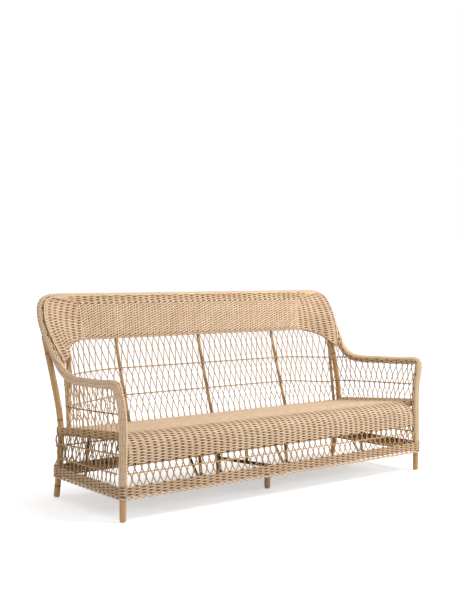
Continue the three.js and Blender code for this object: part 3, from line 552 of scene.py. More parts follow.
def plain_rows(place, heights, stakes, outward, steps=SAMPLES, wave=WAVE, wide=STRAND_W, thick=STRAND_T,
               tone=0.0, sides=6, start=0, proud=0.0, shade=0.0, pinch=PINCH, course=None, edge=EDGE_SHADE):
    """Plain weaving: row r is raised by proud plus wave times cos(pi (s + r)) at stake number s.

    The stake number is stakes times u, or course where that is given. A row lies deep and is
    pinched just where it dips behind a stake, by the sixth power of that wave, and shade is
    added to its depth. The finish paints that depth as shade, so the dips are painted shade.
    """
    u, v = row_grid(heights, stakes, steps)
    count = len(u)
    number = np.arange(count)[:, None] + start
    rise = np.cos(np.pi * ((stakes * u if course is None else course) + number))
    normal, up, _ = faces_of(place, u, v, outward)
    centre = place(u, v) + (proud + wave * rise)[..., None] * normal
    centre = centre + wander(count, u.shape[1], DRIFT)[..., None] * up
    dip = np.clip(-rise, 0, 1) ** 6 * min(wave / DIP, 1)
    width, tone = wide * (1 - pinch * dip), tone + tones(count)
    return strands(centre, normal, width, thick, tone, dip + shade, sides, edge)


def twined_rows(place, heights, stakes, outward, reach, wave, wide, thick, slant=1, steps=SAMPLES,
                tone=0.0, edge=EDGE_SHADE, by_stake=0.0):
    """Twining: each pair's strands are raised by wave sin(pi s) and moved by reach cos(pi s).

    They lie deep where they pass behind, and by_stake adds to that at each stake: the finish
    paints both as shade.
    """
    u, v = row_grid(np.repeat(heights, 2, axis=0), stakes, steps)
    count = len(u)
    phase = np.pi * (stakes * u + np.arange(count)[:, None] % 2)
    normal, up, _ = faces_of(place, u, v, outward)
    centre = place(u, v) + (wave * np.sin(phase))[..., None] * normal
    centre = centre - (slant * reach * np.cos(phase))[..., None] * up
    deep = np.clip(-np.sin(phase), 0, 1) ** 0.7 + by_stake * np.cos(phase) ** 8
    return strands(centre, normal, wide, thick, tone + tones(count), deep, edge=edge)


# By default a stake is dark, tone -0.5 at full depth: painted shade, as it shows only in the holes between
# rows.
def stakes_up(place, stakes, outward, low=0.0, high=1.0, steps=12, thick=STAKE_T, tone=-0.5, deep=1.0,
              proud=0.0):
    """Stakes: straight up the surface at even shares along it, raised off it by proud."""
    u = np.linspace(0, 1, stakes + 1)[:, None] + np.zeros((1, steps))
    v = np.linspace(low, high, steps)[None] + np.zeros_like(u)
    normal, _, _ = faces_of(place, u, v, outward)
    return strands(place(u, v) + proud * normal, normal, STAKE_W, thick, tones(stakes + 1) + tone, deep)


print("stake spacing", PITCH * 1000, "mm, row spacing", ROW * 1000, "mm")

# %% [markdown]
# ### The seat
# The seat is one plain weave that runs back to front over the rounded nose and down the skirt.
# Straight filling strands close it from below; they are darkened nearly to the shade colour, as
# painted shade in the holes. It is made in three pieces, the lying part, the nose and the skirt,
# so that no mesh grows too heavy, and the lying part's strands have four sides. At each side a
# few strands lead its surface up to the band that goes round the seat.

# %% Seat rows
NOSE_FROM, SKIRT_FROM = 0.5, 0.75       # where the pieces part, as shares of the rows
# Painted shade: the strands' sides are darkened, and the filling strands are shaded nearly to the shade
# colour.
SEAT_STRANDS = {"wide": 0.0031, "tone": 0.4, "pinch": 0.35, "edge": 0.55}
SEAT_FILLING = {"wide": 0.0035, "thick": FILLING_T, "proud": -0.0016, "shade": 0.9}
seat_stakes = round(2 * SEAT_HALF / PITCH)
seat_count = round(SEAT_LENGTH / ROW)
seat_heights = (np.arange(seat_count) + 0.5) / seat_count
splits = [0, round(seat_count * NOSE_FROM), round(seat_count * SKIRT_FROM), seat_count]
for name, first, last, sides in zip(("lying", "nose", "skirt"), splits[:-1], splits[1:], (4, 6, 6)):
    rows = seat_heights[first:last]
    piece(f"seat_weave_{name}", [
        plain_rows(seat_place, rows, seat_stakes, -1, start=first, sides=sides, **SEAT_STRANDS),
        plain_rows(seat_place, rows + 0.5 / seat_count, seat_stakes, -1, steps=1, wave=0.0, sides=4,
                   **SEAT_FILLING),
        stakes_up(seat_place, seat_stakes, -1, first / seat_count, last / seat_count, 8),
    ], "weave", "seat_weave")


print("seat", seat_count, "rows over", seat_stakes, "stakes")

# %% The seat's side edges
EDGE_ROWS, EDGE_WAVE, EDGE_SWELL = 7, 0.0012, 0.003
BAND_CLEAR = 0.002          # how far the edge ends below the band's top
NOSE_SHARE = 0.9            # how much of the nose's fall the edge follows


def seat_edge_place(u, v):
    """From the seat's right edge to the top of the side's band, u to the back, v outwards.

    The inner edge falls with the nose's arc, by NOSE_SHARE of it. Between it and the band the
    sheet is straight, raised by EDGE_SWELL times sin(pi v).
    """
    u, v = np.broadcast_arrays(np.asarray(u, float), np.asarray(v, float))
    y = POST_BACK_Y + (CORNER_Y - POST_BACK_Y) * u
    nose_drop = NOSE_R - np.sqrt(NOSE_R ** 2 - np.clip(NOSE_Y - y, 0, 0.9 * NOSE_R) ** 2)
    inner = np.stack([0 * y + SEAT_HALF - SIDE_ROLL / 2, y, seat_z(y) - NOSE_SHARE * nose_drop], -1)
    outer = np.stack([0 * y + LEG_X, y, seat_z(y) + BAND / 2 - BAND_CLEAR], -1)
    return between(inner, outer, v) + (EDGE_SWELL * np.sin(np.pi * v))[..., None] * UP


def mirrored(place):
    """The same surface on the left side."""
    return lambda u, v: place(u, v) * MIRROR


def both(place, outward):
    """A surface on the right and its mirror image, each with its side and its outward sign."""
    return ("right", place, outward), ("left", mirrored(place), -outward)


edge_stakes = round((CORNER_Y - POST_BACK_Y) / PITCH)
edge_heights = (np.arange(EDGE_ROWS) + 0.5) / EDGE_ROWS
for side, place, outward in both(seat_edge_place, -1):
    piece(f"seat_edge_{side}_rows", [plain_rows(place, edge_heights, edge_stakes, outward, wave=EDGE_WAVE)],
          "weave", "seat_weave", f"side_lattice_{side}")
print("seat edges", len(edge_heights), "strands each")

# %% [markdown]
# ### The closed back and its wings
# Plain rows begin on the rim and lie five deep under it, and twined pairs fill the rest down to a
# thicker border. Straight strands behind each pair, dark with painted shade in front and pale at
# the back, let no light pass. Rows keep their distance from the rim, and where a sheet runs out
# they thin out inside its border. The outer part of a wing is plain weave all the way down: its
# rows are level and end on the rim, its stakes follow the rim's course, and it is loose enough
# for them to show.

# %% Back and wing rows
PAIR = 0.0125               # from one twined pair to the next
PLAIN_ROWS = 5
TWINED_SHARE = 0.2          # how far out from the flat back a wing is twined
FADE_FROM, FADE_OVER = 0.15, 0.35
TWINED_W, TWINED_T, TWINED_REACH = 0.0046, 0.0016, 0.0072
# The twined pairs get painted shade on their sides and beside each stake.
TWINED = {"wave": 0.0021, "tone": 0.4, "edge": 0.12, "by_stake": 0.45}
PROUD_STAKES = {"tone": 0.7, "deep": 0.0, "thick": 0.0022, "proud": 0.0012}
FILLING_W, BEHIND_W = 0.0034, 0.0033     # half widths of the straight strands: dark filling, pale behind
FILLING_SET, BEHIND_SET = -0.0012, -0.0034
LEVEL_STAKES = 10           # a level row's own count of stretches, each of SAMPLES samples
LEVEL_FROM, LEVEL_TO = 0.02, 0.98
plain_depths = (np.arange(PLAIN_ROWS + 1) - 0.5) * ROW
tallest = max(BACK_HEIGHT, np.linalg.norm(wing_touch - edge, axis=-1).max())
pair_count = int((tallest - PLAIN_ROWS * ROW) / PAIR) + 1
pair_depths = PLAIN_ROWS * ROW + (np.arange(pair_count) + 0.3) * PAIR


def evenly(place, height):
    """The same surface with u measured by distance along its line at one height, and that length."""
    length, share_at = measured(lambda t: place(t, height))
    return (lambda u, v: place(share_at(np.clip(np.asarray(u, float), 0, 1) * length), v)), length


def stretch(place, first, last):
    """The part of a surface between two shares along it."""
    return lambda u, v: place(first + (last - first) * np.asarray(u, float), v)


def at_depths(place, depths, samples, fade=0.0):
    """Heights of rows at each depth below the rim, and how thin each is where the sheet runs out.

    With fade at 1 the depths shrink to nothing over the stretch FADE_OVER that begins at the share
    FADE_FROM along the sheet. A row thins out to 0.06 of its size near the sheet's lower edge.
    """
    u = np.linspace(0, 1, samples)[None]
    tall = np.linalg.norm(place(u, 1.0) - place(u, 0.0), axis=-1)
    kept = 1 - fade * smooth((u - FADE_FROM) / FADE_OVER)
    heights = 1 - np.asarray(depths)[:, None] * kept / tall
    return np.clip(heights, 0, 1.6), 0.06 + 0.94 * smooth(heights * 14)


def plain_part(place, stakes, outward, depths, fade=0.0, **more):
    """Plain rows at depths below the rim."""
    heights, thin = at_depths(place, depths, stakes * SAMPLES + 1, fade)
    return plain_rows(place, heights, stakes, outward, wide=STRAND_W * thin, thick=STRAND_T * thin, **more)


def straight_part(place, stakes, outward, heights, wide, thick, **more):
    """Straight strands at given heights, with two samples from stake to stake."""
    return plain_rows(place, heights, stakes, outward, steps=2, wave=0.0, wide=wide, thick=thick, **more)


def twined_part(place, stakes, outward, slant, depths):
    """Twined pairs at depths below the rim, proud stakes, dark filling strands, pale ones behind."""
    heights, thin = at_depths(place, depths, stakes * SAMPLES + 1)
    thin = np.repeat(thin, 2, axis=0)
    inner_depths = np.arange(depths[0] - PAIR / 2, depths[-1] + PAIR, PAIR / 2)
    inner, inner_thin = at_depths(place, inner_depths, stakes * 2 + 1)
    stake_top = 1 - (PLAIN_ROWS + 1) * ROW / BACK_HEIGHT
    return [
        twined_rows(place, heights, stakes, outward, slant=slant, wide=TWINED_W * thin,
                    thick=TWINED_T * thin, reach=TWINED_REACH * thin, **TWINED),
        # The front filling strands are darkened: painted shade between the pairs.
        straight_part(place, stakes, outward, inner, FILLING_W * inner_thin, FILLING_T * inner_thin,
                      proud=FILLING_SET, shade=0.75),
        straight_part(place, stakes, outward, inner, BEHIND_W * inner_thin, BEHIND_T * inner_thin,
                      proud=BEHIND_SET),
        stakes_up(place, stakes, outward, 0.0, stake_top, **PROUD_STAKES),
    ]


EDGE_SAMPLES = 400


def across_wing(place, share):
    """A wing with level rows: a from its inner side to the rim, b up from its tip.

    At each height the row starts on the line at the given share, or on the lower edge where that
    is further out, and ends on the rim. The sheet is ruled, so its height grows evenly with v.
    """
    t = np.linspace(share, 1, EDGE_SAMPLES)
    edge_z, rim_z = (np.minimum.accumulate(place(t, v)[:, 2]) - 1e-6 * t for v in (0.0, 1.0))
    low, high = edge_z[-1], rim_z[0]

    def level_place(a, b):
        a, b = np.broadcast_arrays(np.asarray(a, float), np.asarray(b, float))
        z = low + (high - low) * b
        inner = np.where(z >= edge_z[0], share, np.interp(-z, -edge_z, t))
        outer = np.interp(-z, -rim_z, t)
        u = inner + (np.maximum(outer, inner) - inner) * a
        foot, head = place(u, 0.0)[..., 2], place(u, 1.0)[..., 2]
        return place(u, np.clip((z - foot) / (head - foot), 0, 1))

    return level_place, high - low


# The loose rows get painted shade on their sides, and the filling seen between them is darkened as painted
# shade.
LOOSE = {"wave": 0.0016, "pinch": 0.25, "tone": 0.35, "edge": 0.25}
LEVEL_FILLING = {"wide": 0.0036, "thick": FILLING_T, "proud": -0.0026, "shade": 0.7}
LEVEL_BEHIND = {"wide": 0.0034, "thick": BEHIND_T, "proud": -0.0046}


def wing_rows(place, height, outward):
    """Loose level rows that end on the rim, stakes at even distances from it, and two fillings.

    A row's stake number is its distance to the rim, summed along the row, over PITCH.
    """
    a = np.linspace(0, 1, LEVEL_STAKES * SAMPLES + 1)[None]
    b = np.arange(LEVEL_FROM, LEVEL_TO, PAIR / 2 / height)
    steps = np.linalg.norm(np.diff(place(a, b[:, None]), axis=1), axis=-1)
    away = np.concatenate([np.cumsum(steps[:, ::-1], axis=1)[:, ::-1], 0 * steps[:, :1]], axis=1)
    number = np.arange(1, int(away.max() / PITCH) + 1)[:, None]
    stake_a = np.clip(1 - number * PITCH / away[None, :, 0], 0, 1)
    normal, _, _ = faces_of(place, stake_a, b[None], outward)
    # The stakes are darkened, tone -0.5 and depth 0.85: painted shade in the holes where they show.
    stakes = strands(place(stake_a, b[None]), normal, 2 * STAKE_W, STAKE_T, tones(len(number)) - 0.5, 0.85)
    between_rows = b + PAIR / 4 / height
    filling = plain_rows(place, between_rows, LEVEL_STAKES, outward, wave=0.0, **LEVEL_FILLING)
    behind = plain_rows(place, b, LEVEL_STAKES, outward, wave=0.0, **LEVEL_BEHIND)
    rows = plain_rows(place, b, LEVEL_STAKES, outward, course=away / PITCH, **LOOSE)
    return [rows, stakes, filling, behind]


BORDER = {"reach": 0.0018, "wave": 0.0022, "wide": 0.0026, "thick": 0.0024, "tone": -0.3}
BORDER_HEIGHT = 0.008


def closed_weave(place, stakes, outward, slant, share=1.0, level_rows=()):
    """Plain rows under the rim, twined pairs up to a share along, level rows beyond, and a border."""
    fade = float(share < 1)
    return [
        plain_part(place, stakes, outward, [-1.1 * ROW], wave=0.0, proud=0.0014, tone=0.2, fade=fade),
        plain_part(place, stakes, outward, plain_depths, fade=fade, proud=0.0012 * fade),
        twined_rows(place, [BORDER_HEIGHT], stakes, outward, slant=slant, **BORDER),
        *twined_part(stretch(place, 0, share), round(stakes * share), outward, slant, pair_depths),
        *level_rows,
    ]


back_stakes = round(2 * FLAT_X / PITCH)
even_wing, wing_length = evenly(wing_place, 0.8)
wing_stakes = round(wing_length / PITCH)
twined_share = round(wing_stakes * TWINED_SHARE) / wing_stakes
level_wing, level_height = across_wing(even_wing, twined_share)
piece("back_weave_flat", closed_weave(back_place, back_stakes, -1, -1), "weave", "back_weave")
for (side, place, outward), (_, level_place, _) in zip(both(even_wing, 1), both(level_wing, 1)):
    level_rows = wing_rows(level_place, level_height, outward)
    parts = closed_weave(place, wing_stakes, outward, outward, twined_share, level_rows)
    piece(f"wing_weave_{side}_rows", parts, "weave", f"wing_weave_{side}")
print("closed back", len(plain_depths), "rows and", len(pair_depths), "pairs;", back_stakes, "stakes")

# %% [markdown]
# ## Lattice
# Below the closed weave the stakes come out in pairs and part: one strand runs down to the
# right, the other down to the left. Half way to the next stake each meets a strand of its
# neighbour, they twist round each other for 14 mm, part again, and meet once more just above a
# twined row. So a strand's course is a list of knots, each with its depth, its half length and
# its place along the row, with nearly straight slants between them.

# %% Lattice strands
NET_R, LOW_NET_R = 0.0021, 0.0026       # radii of the strands, above and below the seat
KNOT_SET = 0.0016                       # how far a strand lies from its knot's axis
TWIST = 3 * np.pi
KNOT_HALF, LOW_KNOT_HALF = 0.007, 0.011
KNOT_AT, PAST_FOOT = 0.36, 1.05         # a knot's share of its band, and the depth where strands end
BACK_ROW_DEPTHS = (0.149, 0.282)        # the back's twined rows, below its closed weave
LATTICE_ROW = {"steps": 5, "reach": 0.0017, "wave": 0.0019, "wide": 0.0022, "thick": 0.0019}


def strand_course(depth, knots, twist):
    """Place along the row, sideways set and front set of a strand at each depth.

    Between knots the place goes evenly from one to the next, a little rounded at both ends. In a
    knot the strand circles the knot's axis by the twist, one and a half turns unless it is told
    otherwise, entering on one side and leaving on the other.
    """
    place = np.zeros_like(depth)
    sideways, front = np.zeros_like(depth), np.zeros_like(depth)
    for (d0, h0, p0), (d1, h1, p1) in zip(knots[:-1], knots[1:]):
        inside = (depth >= d0 + h0) & (depth <= d1 - h1)
        share = np.clip((depth - d0 - h0) / max(d1 - h1 - d0 - h0, 1e-6), 0, 1)
        place = np.where(inside, p0 + (p1 - p0) * (0.8 * share + 0.2 * smooth(share)), place)
        sideways = np.where(inside, 1 - 2 * share, sideways)
    for d0, h0, p0 in knots:
        inside = np.abs(depth - d0) <= h0
        share = (depth - d0 + h0) / (2 * max(h0, 1e-6))
        place = np.where(inside, p0, place)
        sideways = np.where(inside, -np.cos(twist * share), sideways)
        front = np.where(inside, np.sin(twist * share), front)
    return place, sideways, front


def lattice_strands(place, stakes, knots, outward, samples=90, top=1.0, radius=NET_R, tone=0.0,
                    twist=TWIST, side_set=KNOT_SET):
    """Both families of crossing strands on a surface, folded back at its ends.

    One family's place is its stake's number plus the course, the other's is less the course.
    """
    depth = np.linspace(0, knots[-1][0], samples)
    course, sideways, front = strand_course(depth, knots, twist)
    v = (top - top * depth)[None]
    parts = []
    for direction in (1, -1):
        start = np.arange(stakes + 1)[:, None].astype(float)
        position = start + direction * course[None]
        position = stakes - np.abs(stakes - np.abs(position))
        u = position / stakes
        u, height = np.broadcast_arrays(u, v)
        normal, up, along = faces_of(place, u, height, outward)
        shift = side_set * direction * sideways[None, :, None] * along
        raise_ = KNOT_SET * direction * front[None, :, None] * normal
        # One family of strands is 0.4 darker than the other: painted shade.
        shade = tone - 0.4 * direction * np.sign(along[..., :1].mean()) + tones(stakes + 1)
        parts.append(strands(place(u, height) + shift + raise_, normal, radius, radius, shade, 0.15))
    return parts


def lattice_row(place, stakes, v, outward):
    """One twined row across a lattice."""
    return twined_rows(place, [v], stakes, outward, **LATTICE_ROW)


def bands(rows, height):
    """Knots of a lattice between twined rows, whose depths are shares of the height.

    In each band a knot 14 mm long sits a good third of the way down, half a pitch on, and one of
    22 mm just above the next row, a whole pitch on. The strands end a little below the foot.
    """
    knots = [(0.0, 0.0, 0.0)]
    stops = [0.0, *rows, 1.0]
    half, low = KNOT_HALF / height, LOW_KNOT_HALF / height
    for number, (start, stop) in enumerate(zip(stops[:-1], stops[1:])):
        knots.append((start + KNOT_AT * (stop - start), half, number + 0.5))
        knots.append((stop - low, low, number + 1.0))
    knots.append((PAST_FOOT, 0.0, len(stops) - 0.8))
    return knots


back_height = np.linalg.norm(back_head - back_foot)
back_rows = [depth / back_height for depth in BACK_ROW_DEPTHS]
net_stakes = round(2 * BAY_X / PITCH)
even_bay, bay_length = evenly(bay_place, 0.5)
even_arm, arm_length = evenly(arm_place, 0.5)
bay_stakes, arm_stakes = round(bay_length / PITCH), round(arm_length / ARM_PITCH)
print("back lattice", round(back_height, 3), "m tall, pitches", net_stakes, bay_stakes, arm_stakes)

# %% Back lattices
SAG = 0.021                 # how far the rows sag at most where they turn the corner
OVER = 0.04                 # how far above its head a sheet is continued, as a share of it
back_knots = bands(back_rows, back_height)
row_heights = [back_head[2] - row * (back_head[2] - back_foot[2]) for row in back_rows]


def level(place, low, high, sag):
    """A lattice whose v is an even height, 0 at low and 1 at high, less what the rows sag.

    Rows sag by SAG times the given share along u, most a third of the way up the back, by
    27 / 4 h (1 - h) squared. Above the sheet's own head the height grows by less than OVER.
    """
    def by_height(u, v):
        foot, head = place(u, 0.0)[..., 2], place(u, 1.0)[..., 2]
        height = low + (high - low) * np.asarray(v, float)
        up = np.clip((height - back_foot[2]) / (back_head[2] - back_foot[2]), 0, 1)
        height = height - SAG * sag(np.asarray(u, float)) * 27 / 4 * up * (1 - up) ** 2
        share = (height - foot) / (head - foot)
        over = np.clip(share - 1, 0, None)
        return place(u, np.minimum(share, 1) + OVER * over / (over + 0.2))

    return by_height


def net(name, place, stakes, knots, rows, outward, node, extra=(), twist=TWIST, side_set=KNOT_SET):
    """A lattice piece: crossing strands, its twined rows and anything added to it."""
    parts = lattice_strands(place, stakes, knots, outward, twist=twist, side_set=side_set)
    parts += [lattice_row(place, stakes, 1 - row, outward) for row in rows]
    return piece(name, [*parts, *extra], "lattice", node)


net("back_lattice_strands", flat_net_place, net_stakes, back_knots, back_rows, -1, "back_lattice")
level_bay = level(even_bay, back_foot[2], back_head[2], smooth)
for side, place, outward in both(level_bay, 1):
    net(f"back_corner_lattice_{side}_strands", place, bay_stakes, back_knots, back_rows, outward,
        f"back_corner_lattice_{side}")
print("three back lattices, rows at", np.round(row_heights, 3), "m")

# %% [markdown]
# ### Under the arms and the seat
# Under the arms the strands simply cross, every 53 mm of height, and the rows of the back run on
# nearly level: the upper one soon meets the arm, the lower one reaches the front post. Below the
# seat the lattices are lower, with thicker strands and one or two rows, and each side has a
# plain woven band at seat level.

# %% Lattices under the arms
ARM_CROSSING, ARM_CROSS_Z = 0.053, 0.434
CROSS_HALF, CROSS_SET = 0.004, 0.0004
UPPER_REACH, LOWER_RAISE = 0.42, 0.004  # how far the upper row runs, and a lift of the lower one
arm_low, arm_high = lattice_foot(CORNER_Y), edge[CORNER_ROW, 2]
arm_span = arm_high - arm_low
cross_depths = (arm_high - (ARM_CROSS_Z + ARM_CROSSING * np.arange(4, -3, -1))) / arm_span
arm_knots = [(depth, CROSS_HALF / arm_span, number / 2) for number, depth in enumerate(cross_depths)]
arm_knots = [(0.0, 0.0, -cross_depths[0] / (2 * ARM_CROSSING / arm_span)), *arm_knots]
level_arm = level(even_arm, arm_low, arm_high, lambda u: 1 - u)
lower_row = (row_heights[1] + LOWER_RAISE - arm_low) / arm_span
upper_row = (row_heights[0] - arm_low) / arm_span
upper_stakes = round(arm_stakes * UPPER_REACH)
for side, place, outward in both(level_arm, 1):
    short = lattice_row(stretch(place, 0, UPPER_REACH), upper_stakes, upper_row, outward)
    net(f"arm_lattice_{side}_strands", place, arm_stakes, arm_knots, [1 - lower_row], outward,
        f"arm_lattice_{side}", [short], twist=np.pi, side_set=CROSS_SET)
print("lattices under the arms,", len(cross_depths), "crossings down a strand")

# %% Side, front and rear lattices
SIDE_BAND, BAND_ROWS = 0.86, 5          # where the band begins, as a share of the side, and its rows
SIDE_NET_R, SIDE_ROWS = 0.0024, (0.22, 0.58)
LOW_ROW = 0.58
side_stakes = round((side_rear_y - POST_BACK_Y) / PITCH)
side_band_stakes = round((side_rear_y - POST_BACK_Y) / SIDE_PITCH)
band_rows = 1 - (np.arange(BAND_ROWS) + 0.5) / BAND_ROWS * (1 - SIDE_BAND)
side_knots = [(0.0, 0.0, 0.0), (0.25, 0.03, 0.5), (0.55, 0.03, 1.0), (0.85, 0.03, 1.5), (1.0, 0.0, 1.8)]
# The side's strands are darker, tone -0.6: painted shade, as the side stands in shade below the seat.
for side, place, outward in both(side_place, 1):
    parts = lattice_strands(place, side_stakes, side_knots, outward, samples=60, top=SIDE_BAND,
                            radius=SIDE_NET_R, tone=-0.6)
    parts += [lattice_row(place, side_stakes, row, outward) for row in SIDE_ROWS]
    parts.append(plain_rows(place, band_rows, side_band_stakes, outward))
    parts.append(stakes_up(place, side_band_stakes, outward, SIDE_BAND, 1.0, 4))
    piece(f"side_lattice_{side}_strands", parts, "lattice", f"side_lattice_{side}")

low_stakes = round(2 * (LEG_X - WRAP_R) / PITCH)
low_knots = [(0.0, 0.0, -0.4), (0.18, 0.06, 0.0), (0.68, 0.07, 0.5), (1.0, 0.0, 0.95)]
for name, place in (("front", front_net_place), ("rear", rear_net_place)):
    parts = lattice_strands(place, low_stakes, low_knots, 1, samples=40, radius=LOW_NET_R, tone=-0.7)
    parts.append(lattice_row(place, low_stakes, LOW_ROW, 1))
    piece(f"{name}_lattice_strands", parts, "lattice", f"{name}_lattice")
print("lattices of sides, front and rear, stakes", side_stakes, low_stakes)

# %% [markdown]
# ## Apron
# A low woven band goes round all the legs, with a rope-like rolled edge below. Its line is
# straight between the legs and turns round each in a quarter circle.

# %% Apron rows and rolled edge
APRON_ROWS, ROLL_SHARE = 7, 0.16        # the rolled edge takes the lowest share of the height
# The apron's strands are darkened all over: painted shade, as the low band lies in shade.
APRON_STRANDS = {"wide": 0.0037, "shade": 0.2, "tone": -0.4}
ROLL_STRANDS = {"reach": 0.0026, "wave": 0.0026, "wide": 0.0036, "thick": 0.0032, "tone": -0.2}
QUARTER = math.pi / 2
QUARTER_POINTS = 9


def turn_round(x, y, start, stop):
    """Points on a quarter circle of APRON_OUT about a leg, from one angle to another."""
    angle = np.linspace(start, stop, QUARTER_POINTS)
    return np.stack([x + APRON_OUT * np.cos(angle), y + APRON_OUT * np.sin(angle), 0 * angle], -1)


apron_rear_y = leg_tilt(APRON_LOW)
front_line = np.vstack([
    [-LEG_X - APRON_OUT, FRONT_Y + WRAP_R, 0],
    turn_round(-LEG_X, FRONT_Y, 2 * QUARTER, 3 * QUARTER),
    turn_round(LEG_X, FRONT_Y, 3 * QUARTER, 4 * QUARTER),
    [LEG_X + APRON_OUT, FRONT_Y + WRAP_R, 0],
])
rear_line = np.vstack([
    [REAR_LEG_X + APRON_OUT, apron_rear_y - WRAP_R, 0],
    turn_round(REAR_LEG_X, apron_rear_y, 0, QUARTER),
    turn_round(-REAR_LEG_X, apron_rear_y, QUARTER, 2 * QUARTER),
    [-REAR_LEG_X - APRON_OUT, apron_rear_y - WRAP_R, 0],
])
right_line = np.vstack([front_line[-1], rear_line[0]])
left_line = np.vstack([rear_line[-1], front_line[0]])


def apron_place_along(points):
    """Surface over a level line, evenly divided by distance, v up from the roll to the top."""
    length, share_at = measured(lambda t: line(points, t))
    low, high = APRON_LOW + ROLL_R, APRON_TOP

    def place(u, v):
        u, v = np.broadcast_arrays(np.asarray(u, float), np.asarray(v, float))
        point = line(points, share_at(np.clip(u, 0, 1) * length))
        point[..., 2] = low + (high - low) * v
        return point

    return place, length


apron_heights = ROLL_SHARE + (1 - ROLL_SHARE) * (np.arange(APRON_ROWS) + 0.5) / APRON_ROWS
apron_lines = {"front": front_line, "rear": rear_line, "side_right": right_line, "side_left": left_line}
for name, points in apron_lines.items():
    place, length = apron_place_along(points)
    stakes = round(length / PITCH)
    piece(f"apron_{name}_rows", [
        plain_rows(place, apron_heights, stakes, 1, **APRON_STRANDS),
        twined_rows(place, [0.0], stakes, 1, **ROLL_STRANDS),
        stakes_up(place, stakes, 1, 0.0, 1.0, 5),
    ], "weave", f"apron_{name}")
print("apron", APRON_ROWS, "rows")

# %% [markdown]
# ## Sheath of the rim and arms
# The rim, the arms and the front posts are poles covered with long strands laid side by side,
# with a braid along the edge that faces up and forward and beside it a thin dark strand, painted
# shade of the groove there. A strand's place round the pole is an angle: zero is straight away
# from the weave, a quarter turn is the sitter's side.

# %% Sheath strands
SHEATH_R = WRAP_R - STRAND_T - 0.0006   # where the strands' middles lie, within the solid's radius
OUTER_TURNS, INNER_TURNS = -np.linspace(0.03, 0.46, 8), np.linspace(0.235, 0.49, 5)
OUTER = {"steps": 4, "wave": 0.0002, "wide": 0.0033, "tone": 0.6}
INNER = {"wave": 0.0016, "wide": 0.0031, "tone": 0.2}
# A thin dark strand in the groove between the outer strands and the braid: painted shade of that groove.
GROOVE_TURN = -0.004
GROOVE_SHADE_STRAND = {"steps": 4, "wave": 0.0, "wide": 0.0015, "thick": 0.0022, "tone": -0.5, "shade": 0.6}
BRAID_TURN, BRAID_REACH, BRAID_RISE = 0.105, 0.075, 0.0011
BRAID_W, BRAID_T, BRAID_RATE = 0.0044, 0.0021, 0.75
rim_away = np.vstack([unit(wing[: len(edge)] - edge), [[0.2, 0, 1], UP, UP, UP]])
rim_away[:2] = UP
rim_away = np.vstack([(rim_away * MIRROR)[::-1], rim_away])
arm_away = np.vstack([UP, UP, UP, UP, UP, [0, -0.7, 0.7], FORWARD, FORWARD, FORWARD, FORWARD])


def sheath_place_along(points, away, first, last, flip):
    """Surface round a curve: u evenly by distance, v the share of a turn, at the strands' middle.

    The point is the curve's own, plus SHEATH_R times (cos a away + sin a sitter's side).
    """
    length, share_at = measured(lambda t: route(points, t), first, last)

    def place(u, v):
        u, v = np.broadcast_arrays(np.asarray(u, float), np.asarray(v, float))
        t = share_at(u * length)
        centre = route(points, t)
        along = unit(route(points, t + STEP) - route(points, t - STEP))
        out = line(away, t)
        out = unit(out - (out * along).sum(-1, keepdims=True) * along)
        sitter = flip * np.cross(along, out)
        angle = 2 * np.pi * v[..., None]
        return centre + SHEATH_R * (np.cos(angle) * out + np.sin(angle) * sitter)

    return place, length


def braid(place, stakes, outward):
    """Three strands that swap places: strand k lies at BRAID_REACH sin(p + k/3) from BRAID_TURN.

    It is raised by BRAID_RISE times the sine of twice that phase, and darkened with painted shade
    where it passes below.
    """
    u = np.linspace(0, 1, stakes * 9 + 1)[None] + np.zeros((3, 1))
    phase = 2 * np.pi * (stakes * u * BRAID_RATE + np.arange(3)[:, None] / 3)
    v = BRAID_TURN + BRAID_REACH * np.sin(phase)
    normal, _, _ = faces_of(place, u, v, outward)
    rise = np.sin(2 * phase)
    centre = place(u, v) + (BRAID_RISE * rise)[..., None] * normal
    return strands(centre, normal, BRAID_W, BRAID_T, -0.1, np.clip(-rise, 0, 1) * 0.45)


def sheath(name, points, away, first, last, flip, node):
    """Long strands round a pole: smooth ones outside, waving ones inside, a thin dark strand as painted
    shade of the groove, the braid.
    """
    place, length = sheath_place_along(points, away, first, last, flip)
    stakes = round(length / PITCH)
    return piece(name, [
        plain_rows(place, OUTER_TURNS, stakes, -flip, **OUTER),
        plain_rows(place, INNER_TURNS, stakes, -flip, **INNER),
        plain_rows(place, [GROOVE_TURN], stakes, -flip, **GROOVE_SHADE_STRAND),
        braid(place, stakes, -flip),
    ], "wrap", node)


rim_first, arm_first = 1 / (len(rim_points) - 1), 1 / (len(arm_points) - 1)
rim_last, arm_last = 1 - rim_first, 1 - arm_first
sheath("rim_sheath", rim_points, rim_away, rim_first, rim_last, 1, "top_rail_wrap")
sheath("arm_sheath_right", arm_points, arm_away, arm_first, arm_last, 1, "arm_wrap_right")
sheath("arm_sheath_left", arm_points * MIRROR, arm_away * MIRROR, arm_first, arm_last, -1, "arm_wrap_left")
print("sheaths of rim and arms")

# %% [markdown]
# ## Poles
# The canes are rattan stems, bent hot. A stem is round, a little uneven, and has a low ring
# every 31 cm, where a leaf stood. Each pole is a profile carried along its course: the radius
# swells at the rings and rounds off at both ends.

# %% Poles with their rings
RING_SPACING, RING_HALF, RING_SWELL = 0.31, 0.0045, 0.04
POLE_STEP, POLE_SIDES = 0.018, 16
END_SHARE = 0.25            # how much of the radius an end's rounding takes


